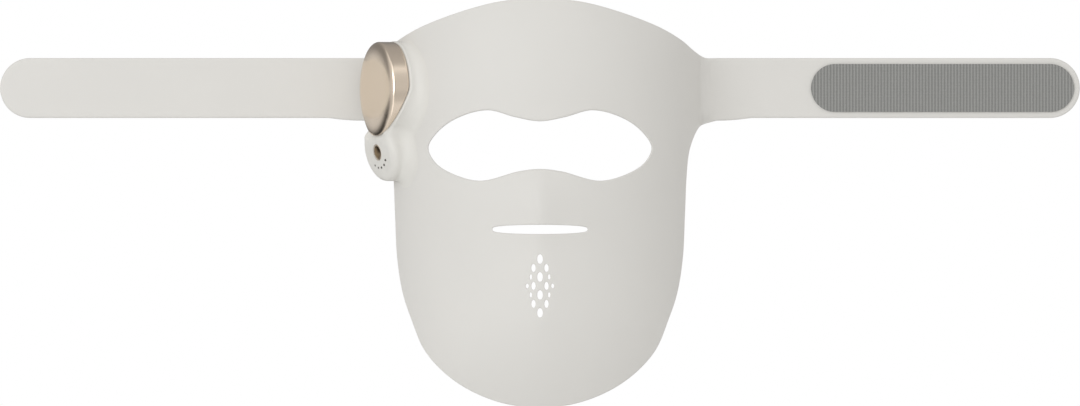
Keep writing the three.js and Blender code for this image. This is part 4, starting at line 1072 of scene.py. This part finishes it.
# Moulded and cast finishes: a colour that the user can set or 8-bit sRGB values, the roughness, and the rest
FINISHES = {
    "ivory silicone": ("silicone", 0.56, {"mottle": 0.008, "patch_scale": 18.0, "Specular IOR Level": 0.32}),
    "clear silicone": ((232, 233, 230), 0.34, {"mottle": 0.01, "Specular IOR Level": 0.45, "Alpha": 0.17}),
    "white board": ((224, 228, 224), 0.5, {"mottle": 0.03, "patch_scale": 60.0, "grain_scale": 900.0}),
    "diode lens": ((244, 226, 150), 0.18, {"mottle": 0.03, "patch_scale": 90.0, "grain": 0.03}),
    "ivory plastic": ("plastic", 0.46, {"mottle": 0.008, "grain_scale": 1500.0, "Specular IOR Level": 0.4}),
    "champagne metal": ("metal", 0.23, {"Metallic": 1.0, "mottle": 0.006, "patch_scale": 30.0,
                                        "grain_scale": 3000.0, "grain": 0.02, "depth": 0.00001}),
    # Painted shade: a darker copy of the champagne metal for the button's dish, in place of the dark reflections in
    # it
    "champagne metal, dished": ((156, 135, 108), 0.3, {"Metallic": 1.0, "mottle": 0.02, "patch_scale": 60.0,
                                                       "grain_scale": 3000.0, "grain": 0.03, "depth": 0.00001}),
    "dark plastic": ((48, 46, 44), 0.48, {"mottle": 0.08, "grain_scale": 1500.0}),
    "smoked plastic": ((94, 91, 86), 0.25, {"mottle": 0.05, "grain": 0.04}),
    "plated steel": ((190, 190, 193), 0.26, {"Metallic": 1.0, "mottle": 0.03, "grain_scale": 3000.0}),
    "battery film": ((96, 116, 134), 0.3, {"mottle": 0.06, "patch_scale": 80.0}),
    "amber film": ((196, 132, 58), 0.35, {"mottle": 0.05, "patch_scale": 120.0}),
}

# Woven finishes: the colour that the user can set, shares of it in the valleys and on the crests (painted shade in
# the valleys, painted light on the crests), the pitches along x and z in millimetres (none: as the user set it),
# roughness, strength and depth of the relief
TAPES = {
    "grey hook tape": ("hook_tape", (0.8, 1.22), (None, 0.9), 0.85, 0.6, 0.0003),
    "pale loop tape": ("loop_tape", (0.88, 1.13), (1.3, 1.1), 0.95, 0.7, 0.0004),
}
STITCH_SHARE = 0.35
FUZZ_SHARE = 0.5


def srgb(red, green, blue):
    """Linear colour from 8-bit sRGB values: the usual curve with its straight foot."""
    def linear(value):
        share = value / 255
        return share / 12.92 if share <= 0.04045 else ((share + 0.055) / 1.055) ** 2.4
    return (linear(red), linear(green), linear(blue), 1.0)


def tinted(colour, share):
    """Colour times a share, white at most."""
    return tuple(min(1.0, c * share) for c in colour[:3]) + (1.0,)


def chosen(part):
    """Colour of a part as the user set it."""
    return tuple(getattr(bpy.context.scene.face_mask_colours, part))


def add_node(tree, kind, inputs=(), output=0, **settings):
    """Adds a shader node with its settings; an input takes a value or the socket that feeds it."""
    node = tree.nodes.new("ShaderNode" + kind)
    for key, value in settings.items():
        setattr(node, key, value)
    for key, value in dict(inputs).items():
        if isinstance(value, bpy.types.NodeSocket):
            tree.links.new(value, node.inputs[key])
        else:
            node.inputs[key].default_value = value
    return node.outputs[output] if node.outputs else None


def calculate(tree, operation, *values):
    """Result of a Math node."""
    return add_node(tree, "Math", dict(enumerate(values)), operation=operation)


def vector_step(tree, operation, *vectors, output="Vector"):
    """Result of a Vector Math node."""
    return add_node(tree, "VectorMath", dict(enumerate(vectors)), output, operation=operation)


def smooth_range(tree, value, **limits):
    """Smooth step of a value between limits that are named as the node names them."""
    inputs = {key.replace("_", " "): limit for key, limit in limits.items()}
    return add_node(tree, "MapRange", {"Value": value, **inputs}, interpolation_type="SMOOTHSTEP")


def mixed_shaders(tree, share, first, second):
    """The first shader where the share is 0, the second where it is 1."""
    return add_node(tree, "MixShader", {"Fac": share, 1: first, 2: second})


def axes(tree, vector):
    """X, Y and Z of a vector."""
    return add_node(tree, "SeparateXYZ", {"Vector": vector}).node.outputs


def ramp(tree, factor, *stops):
    """Colour ramp through stops of (position, colour)."""
    node = tree.nodes.new("ShaderNodeValToRGB")
    kept = node.color_ramp.elements
    for index, (position, colour) in enumerate(stops):
        stop = kept[index] if index < 2 else kept.new(position)
        stop.position, stop.color = position, colour
    tree.links.new(factor, node.inputs["Fac"])
    return node.outputs["Color"]


def object_noise(tree, scale, detail):
    """Noise on Object coordinates."""
    place = add_node(tree, "TexCoord", output="Object")
    return add_node(tree, "TexNoise", {"Scale": scale, "Detail": detail, "Vector": place})


def relief(tree, height, strength, depth):
    """Normals bent by a height."""
    return add_node(tree, "Bump", {"Strength": strength, "Distance": depth, "Height": height})


def empty_material(name):
    """New material and its tree without nodes."""
    made = bpy.data.materials.new(name)
    made.use_nodes = True
    made.node_tree.nodes.clear()
    return made, made.node_tree


@functools.cache
def grained(name, colour, roughness, mottle=0.02, patch_scale=28.0, grain_scale=2600.0, grain=0.12, depth=0.00003,
            **sockets):
    """Moulded or cast surface: faint large patches of colour and gloss over a fine grain. Like settings share one."""
    made, tree = empty_material(name)
    patches = object_noise(tree, patch_scale, 3.0)
    colours = ramp(tree, patches, (0.35, tinted(colour, 1 - mottle)), (0.65, tinted(colour, 1 + mottle)))
    gloss = add_node(tree, "MapRange", {"Value": patches, "From Min": 0.3, "From Max": 0.7,
                                        "To Min": roughness - 0.04, "To Max": roughness + 0.04})
    bump = relief(tree, object_noise(tree, grain_scale, 2.0), grain, depth)
    surface = add_node(tree, "BsdfPrincipled", {"Roughness": roughness, "Base Color": colours, "Normal": bump,
                                                **sockets})
    tree.links.new(gloss, surface.node.inputs["Roughness"])
    add_node(tree, "OutputMaterial", {"Surface": surface})
    return made


@functools.cache
def woven(name, colour, shares, pitches, roughness, strength, depth):
    """Tape: sine of x over the row pitch, plus a share of the sine of z over the stitch pitch, plus fuzz."""
    made, tree = empty_material(name)
    parts = axes(tree, add_node(tree, "TexCoord", output="Object"))
    rows, stitches = (
        calculate(tree, "SINE", calculate(tree, "MULTIPLY", parts[axis], 2 * math.pi / (pitch * MM)))
        for axis, pitch in zip("XZ", pitches))
    height = calculate(tree, "MULTIPLY_ADD", calculate(tree, "MULTIPLY_ADD", stitches, STITCH_SHARE, rows),
                       FUZZ_SHARE, object_noise(tree, 1400.0, 2.0))
    # Painted shade in the weave's valleys and painted light on its crests: the colour follows the height of the
    # relief
    low, high = (tinted(colour, share) for share in shares)
    surface = add_node(tree, "BsdfPrincipled", {
        "Roughness": roughness, "Base Color": ramp(tree, height, (0.1, low), (0.95, high)),
        "Normal": relief(tree, height, strength, depth), "Sheen Weight": 0.25, "Sheen Roughness": 0.5})
    add_node(tree, "OutputMaterial", {"Surface": surface})
    return made


def material(name):
    """Material by its name, in the colours and pitches that are set now."""
    if name in TAPES:
        part, shares, pitches, *surface = TAPES[name]
        set_pitch = bpy.context.scene.face_mask_sizes.weave_pitch / MM
        return woven(name, chosen(part), shares, tuple(pitch or set_pitch for pitch in pitches), *surface)
    colour, roughness, options = FINISHES[name]
    return grained(name, chosen(colour) if isinstance(colour, str) else srgb(*colour), roughness, **options)


# Studio

FLOOR_HEIGHT = -0.19
FLOOR_RADIUS = 0.9
VIEW_DISTANCE = 6.0
VIEW_HEIGHT = -0.033
VIEW_WIDTH = 0.648
SENSOR_WIDTH = 36.0
WHITE = (1.0, 1.0, 1.0, 1.0)

# Brightness of what the metal reflects: bands as (z of the direction, level) behind and in front of the mask, and
# upright strips as (direction in x and y, squash in z, half-angle, level)
GLOSS_BEHIND = [(-1, 0.7), (-0.75, 0.6), (-0.62, 0.15), (-0.45, 0.05), (-0.2, 0.05), (-0.1, 0.2), (-0.03, 0.7),
                (0.03, 0.7), (0.09, 0.42), (0.18, 0.25), (0.4, 0.24), (0.62, 0.34), (0.8, 0.4), (1, 0.45)]
GLOSS_IN_FRONT = [(-1, 0.75), (-0.6, 0.85), (-0.45, 0.62), (-0.2, 0.58), (0, 0.68), (0.3, 0.66), (0.55, 0.7),
                  (0.72, 1.0), (0.84, 0.5), (1, 0.45)]
GLOSS_STRIPS = [((-0.42, -0.91), 0.27, 0.62, 0.5), ((0.15, -0.99), 0.3, 0.2, -0.42)]


def build_world():
    """White seen by the camera; soft light that leans right and up; bands and upright strips for reflections."""
    world = bpy.data.worlds.new("studio")
    bpy.context.scene.world = world
    world.use_nodes = True
    tree = world.node_tree
    tree.nodes.clear()
    place = add_node(tree, "TexCoord", output="Generated")
    parts = axes(tree, place)
    light = bpy.context.scene.face_mask_light
    sideways = calculate(tree, "MULTIPLY_ADD", parts["X"], light.soft_right, light.soft_level)
    soft_level = calculate(tree, "MULTIPLY_ADD", parts["Z"], light.soft_up, sideways)
    height = add_node(tree, "MapRange", {"Value": parts["Z"], "From Min": -1.0})

    def bands(levels):
        return ramp(tree, height, *[((z + 1) / 2, (level, level, level, 1)) for z, level in levels])

    behind = smooth_range(tree, parts["Y"], From_Min=-0.1, From_Max=0.4)
    gloss_level = add_node(tree, "Mix", {"Factor": behind, "A": bands(GLOSS_IN_FRONT), "B": bands(GLOSS_BEHIND)})
    for (x, y), squash, reach, amount in GLOSS_STRIPS:
        unit = vector_step(tree, "NORMALIZE", vector_step(tree, "MULTIPLY", place, (1, 1, squash)))
        towards = vector_step(tree, "DOT_PRODUCT", unit, Vector((x, y, 0)).normalized(), output="Value")
        strip = smooth_range(tree, towards, From_Min=math.cos(reach), To_Max=amount)
        gloss_level = calculate(tree, "ADD", gloss_level, strip)
    soft = add_node(tree, "Background", {"Color": (1.0, 0.995, 0.985, 1), "Strength": soft_level})
    gloss = add_node(tree, "Background", {"Color": WHITE, "Strength": gloss_level})
    white = add_node(tree, "Background", {"Color": WHITE, "Strength": 1.0})
    ray = add_node(tree, "LightPath").node.outputs
    seen = calculate(tree, "MAXIMUM", ray["Is Camera Ray"], ray["Is Transmission Ray"])
    unseen = mixed_shaders(tree, ray["Is Glossy Ray"], soft, gloss)
    add_node(tree, "OutputWorld", {"Surface": mixed_shaders(tree, seen, unseen, white)})


def floor_finish():
    """Pale floor that fades to the white of the background towards its edge; reflections look past it."""
    made, tree = empty_material("pale floor")
    surface = add_node(tree, "BsdfPrincipled", {"Base Color": (0.9, 0.9, 0.9, 1), "Roughness": 0.8})
    length = vector_step(tree, "LENGTH", add_node(tree, "TexCoord", output="Object"), output="Value")
    fade = smooth_range(tree, length, From_Min=0.3, From_Max=FLOOR_RADIUS, To_Min=0.35, To_Max=1.0)
    ray = add_node(tree, "LightPath").node.outputs
    share = calculate(tree, "MULTIPLY", ray["Is Camera Ray"], fade)
    faded = mixed_shaders(tree, share, surface, add_node(tree, "Emission"))
    clear = add_node(tree, "BsdfTransparent")
    add_node(tree, "OutputMaterial", {"Surface": mixed_shaders(tree, ray["Is Glossy Ray"], faded, clear)})
    return made


def build_floor():
    """Disc of rings round the object's middle."""
    radius = np.linspace(0.02, FLOOR_RADIUS, 6)[:, None] / MM
    grid = np.insert(around(full_turn(64), radius), 2, FLOOR_HEIGHT / MM, axis=-1)
    floor = mesh_from("studio_floor", grid.reshape(-1, 3), grid_faces(6, 64, False, True))

    def close_middle(bm):
        edges = [edge for edge in bm.edges if edge.is_boundary and edge.verts[0].co.xy.length < 0.1]
        bmesh.ops.holes_fill(bm, edges=edges, sides=0)
        face_outward(bm)

    edit_mesh(floor, close_middle)
    if floor.data.polygons[0].normal.z < 0:
        edit_mesh(floor, lambda bm: bmesh.ops.reverse_faces(bm, faces=bm.faces))
    floor.data.materials.append(floor_finish())


def soft_box(place, aim, size, power, colour):
    """Square area lamp that looks at a point."""
    lamp = bpy.data.lights.new("left soft box", "AREA")
    lamp.color = colour
    lamp.shape = "RECTANGLE"
    lamp.size, lamp.size_y, lamp.energy = size, size, power
    place_in_scene(lamp, place, (Vector(aim) - Vector(place)).to_track_quat("-Z", "Y").to_euler())


def build_camera():
    """Camera straight in front, far away; the whole object fills the width of the picture."""
    camera = bpy.data.cameras.new("front view")
    camera.sensor_width = SENSOR_WIDTH
    camera.lens = SENSOR_WIDTH * VIEW_DISTANCE / VIEW_WIDTH
    camera.clip_end = 50.0
    bpy.context.scene.camera = place_in_scene(camera, (0, -VIEW_DISTANCE, VIEW_HEIGHT), (math.pi / 2, 0, 0))


# Finish of every solid that stays visible or lies inside
SOLID_FINISHES = {
    "amber film": ["led_flex_tail"],
    "dark plastic": ["base_contact_plate", "tact_switch", "unit_contact_block", "unit_back_cover"],
    "plated steel": ["base_magnet_rear", "base_magnet_front", "unit_magnet_rear", "unit_magnet_front"],
    "white board": ["switch_board", "unit_main_board", "led_flex_board"],
    "smoked plastic": ["light_guide"],
    "battery film": ["unit_battery"],
    "ivory plastic": ["lobe_back_cover", "base_housing"],
    "champagne metal": ["unit_housing", "power_button"],
    "ivory silicone": ["mask_outer_shell", "right_strap_inner", "right_strap_tail", "left_strap_inner",
                       "left_strap_tail"],
    "clear silicone": ["inner_liner"],
    "grey hook tape": ["hook_pad"],
    "pale loop tape": ["loop_pad"],
}


def dress_frame():
    """Gives every solid of the frame its finish."""
    for finish, solids in SOLID_FINISHES.items():
        for solid in solids:
            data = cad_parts[solid].data
            data.materials.clear()
            data.materials.append(material(finish))


# Add-on

def length(name, description, default, smallest, largest):
    """Property that holds a length in metres."""
    return bpy.props.FloatProperty(name=name, description=description, default=default, min=smallest, max=largest,
                                   unit="LENGTH", precision=4)


def colour(name, description, *levels):
    """Property that holds a colour, from 8-bit sRGB values."""
    return bpy.props.FloatVectorProperty(name=name, description=description, default=srgb(*levels), size=4, min=0,
                                         max=1, subtype="COLOR")


def factor(name, description, default, smallest=-1, largest=1):
    """Property that holds a share or a strength."""
    return bpy.props.FloatProperty(name=name, description=description, default=default, min=smallest, max=largest,
                                   subtype="FACTOR")


class FaceMaskSizes(bpy.types.PropertyGroup):
    """Sizes that can be changed without the frame"""
    unit_rim_width: length("Rim width", "Width of the control unit's rounded rim, seen from its face",
                           0.011, 0.001, 0.012)
    unit_rim_depth: length("Rim depth", "Depth of the control unit's rounded rim along its wall",
                           0.0036, 0.001, 0.006)
    diode_pitch: length("Diode pitch", "Distance of the diodes along a row", 0.021, 0.008, 0.04)
    diode_row_pitch: length("Row pitch", "Distance between the rows of diodes", 0.019, 0.008, 0.04)
    weave_pitch: length("Hook pitch", "Distance of the upright rows of the grey hook tape", 0.0019, 0.0005, 0.004)


class FaceMaskColours(bpy.types.PropertyGroup):
    """Colours of the parts"""
    silicone: colour("Silicone", "Colour of the soft shell and its straps", 219, 217, 212.5)
    plastic: colour("Plastic", "Colour of the moulded base on the temple", 221, 219, 213.5)
    metal: colour("Metal", "Colour of the control unit and the button", 236, 220, 201)
    hook_tape: colour("Hook tape", "Colour of the tape on the front of the right strap", 140, 140, 137.5)
    loop_tape: colour("Loop tape", "Colour of the tape on the back of the left strap", 209, 207, 201)


class FaceMaskLight(bpy.types.PropertyGroup):
    """Balance of the studio light"""
    soft_level: factor("Soft level", "Strength of the light from all sides", 0.748, 0, 2)
    soft_right: factor("From the right", "Rise of the soft light towards the right, negative for the left", 0.1)
    soft_up: factor("From above", "Rise of the soft light towards the top", 0.03)
    key_power: bpy.props.FloatProperty(name="Soft box", description="Power of the lamp in front on the left",
                                       default=39.0, min=0, max=500, unit="POWER")


class OBJECT_OT_mask_skin(bpy.types.Operator):
    """Sweeps the soft shell round the eye opening and carves its slit and vents"""
    bl_idname = "face_mask.skin"
    bl_label = "Mask skin"

    def execute(self, context):
        build_mask_skin()
        return {"FINISHED"}


class OBJECT_OT_inner_layers(bpy.types.Operator):
    """Lays the liner, the board and its diodes under the skin"""
    bl_idname = "face_mask.inner_layers"
    bl_label = "Inner layers"

    def execute(self, context):
        build_inner_layers()
        return {"FINISHED"}


class OBJECT_OT_straps(bpy.types.Operator):
    """Runs both straps out from the mask, with their tapes"""
    bl_idname = "face_mask.straps"
    bl_label = "Straps and tapes"

    def execute(self, context):
        build_straps()
        return {"FINISHED"}


class OBJECT_OT_control_unit(bpy.types.Operator):
    """Turns the control unit and moulds its base, with the button in the lobe"""
    bl_idname = "face_mask.control_unit"
    bl_label = "Control unit"

    def execute(self, context):
        build_unit_housing()
        build_temple_base()
        build_button()
        return {"FINISHED"}


class OBJECT_OT_studio(bpy.types.Operator):
    """Sets the white studio, the lamp, the floor and the camera"""
    bl_idname = "face_mask.studio"
    bl_label = "Studio"

    def execute(self, context):
        context.scene.view_settings.view_transform = "Standard"
        build_world()
        build_floor()
        soft_box((-1.65, -3.0, 0.75), (0, 0, -0.03), 2.4, context.scene.face_mask_light.key_power,
                 (0.97, 0.985, 1.0))
        build_camera()
        return {"FINISHED"}


class VIEW3D_PT_face_mask(bpy.types.Panel):
    """Buttons that build the mask"""
    bl_idname = "VIEW3D_PT_face_mask"
    bl_label = "Face mask"
    bl_space_type = "VIEW_3D"
    bl_region_type = "UI"
    bl_category = "Face mask"

    def draw(self, context):
        for group in GROUPS:
            box = self.layout.box()
            for part in GROUPS[group].__annotations__:
                box.prop(getattr(context.scene, group), part)
        for operator in OPERATORS:
            self.layout.operator(operator.bl_idname)


OPERATORS = (OBJECT_OT_mask_skin, OBJECT_OT_inner_layers, OBJECT_OT_straps, OBJECT_OT_control_unit,
             OBJECT_OT_studio)
GROUPS = {"face_mask_sizes": FaceMaskSizes, "face_mask_colours": FaceMaskColours, "face_mask_light": FaceMaskLight}
CLASSES = tuple(GROUPS.values()) + OPERATORS + (VIEW3D_PT_face_mask,)


def register():
    for cls in CLASSES:
        bpy.utils.register_class(cls)
    for name, group in GROUPS.items():
        setattr(bpy.types.Scene, name, bpy.props.PointerProperty(type=group))


def unregister():
    for name in GROUPS:
        delattr(bpy.types.Scene, name)
    for cls in reversed(CLASSES):
        bpy.utils.unregister_class(cls)


def main():
    register()
    dress_frame()
    bpy.ops.face_mask.skin()
    bpy.ops.face_mask.inner_layers()
    bpy.ops.face_mask.straps()
    bpy.ops.face_mask.control_unit()
    bpy.ops.face_mask.studio()


if __name__ == "__main__":
    main()
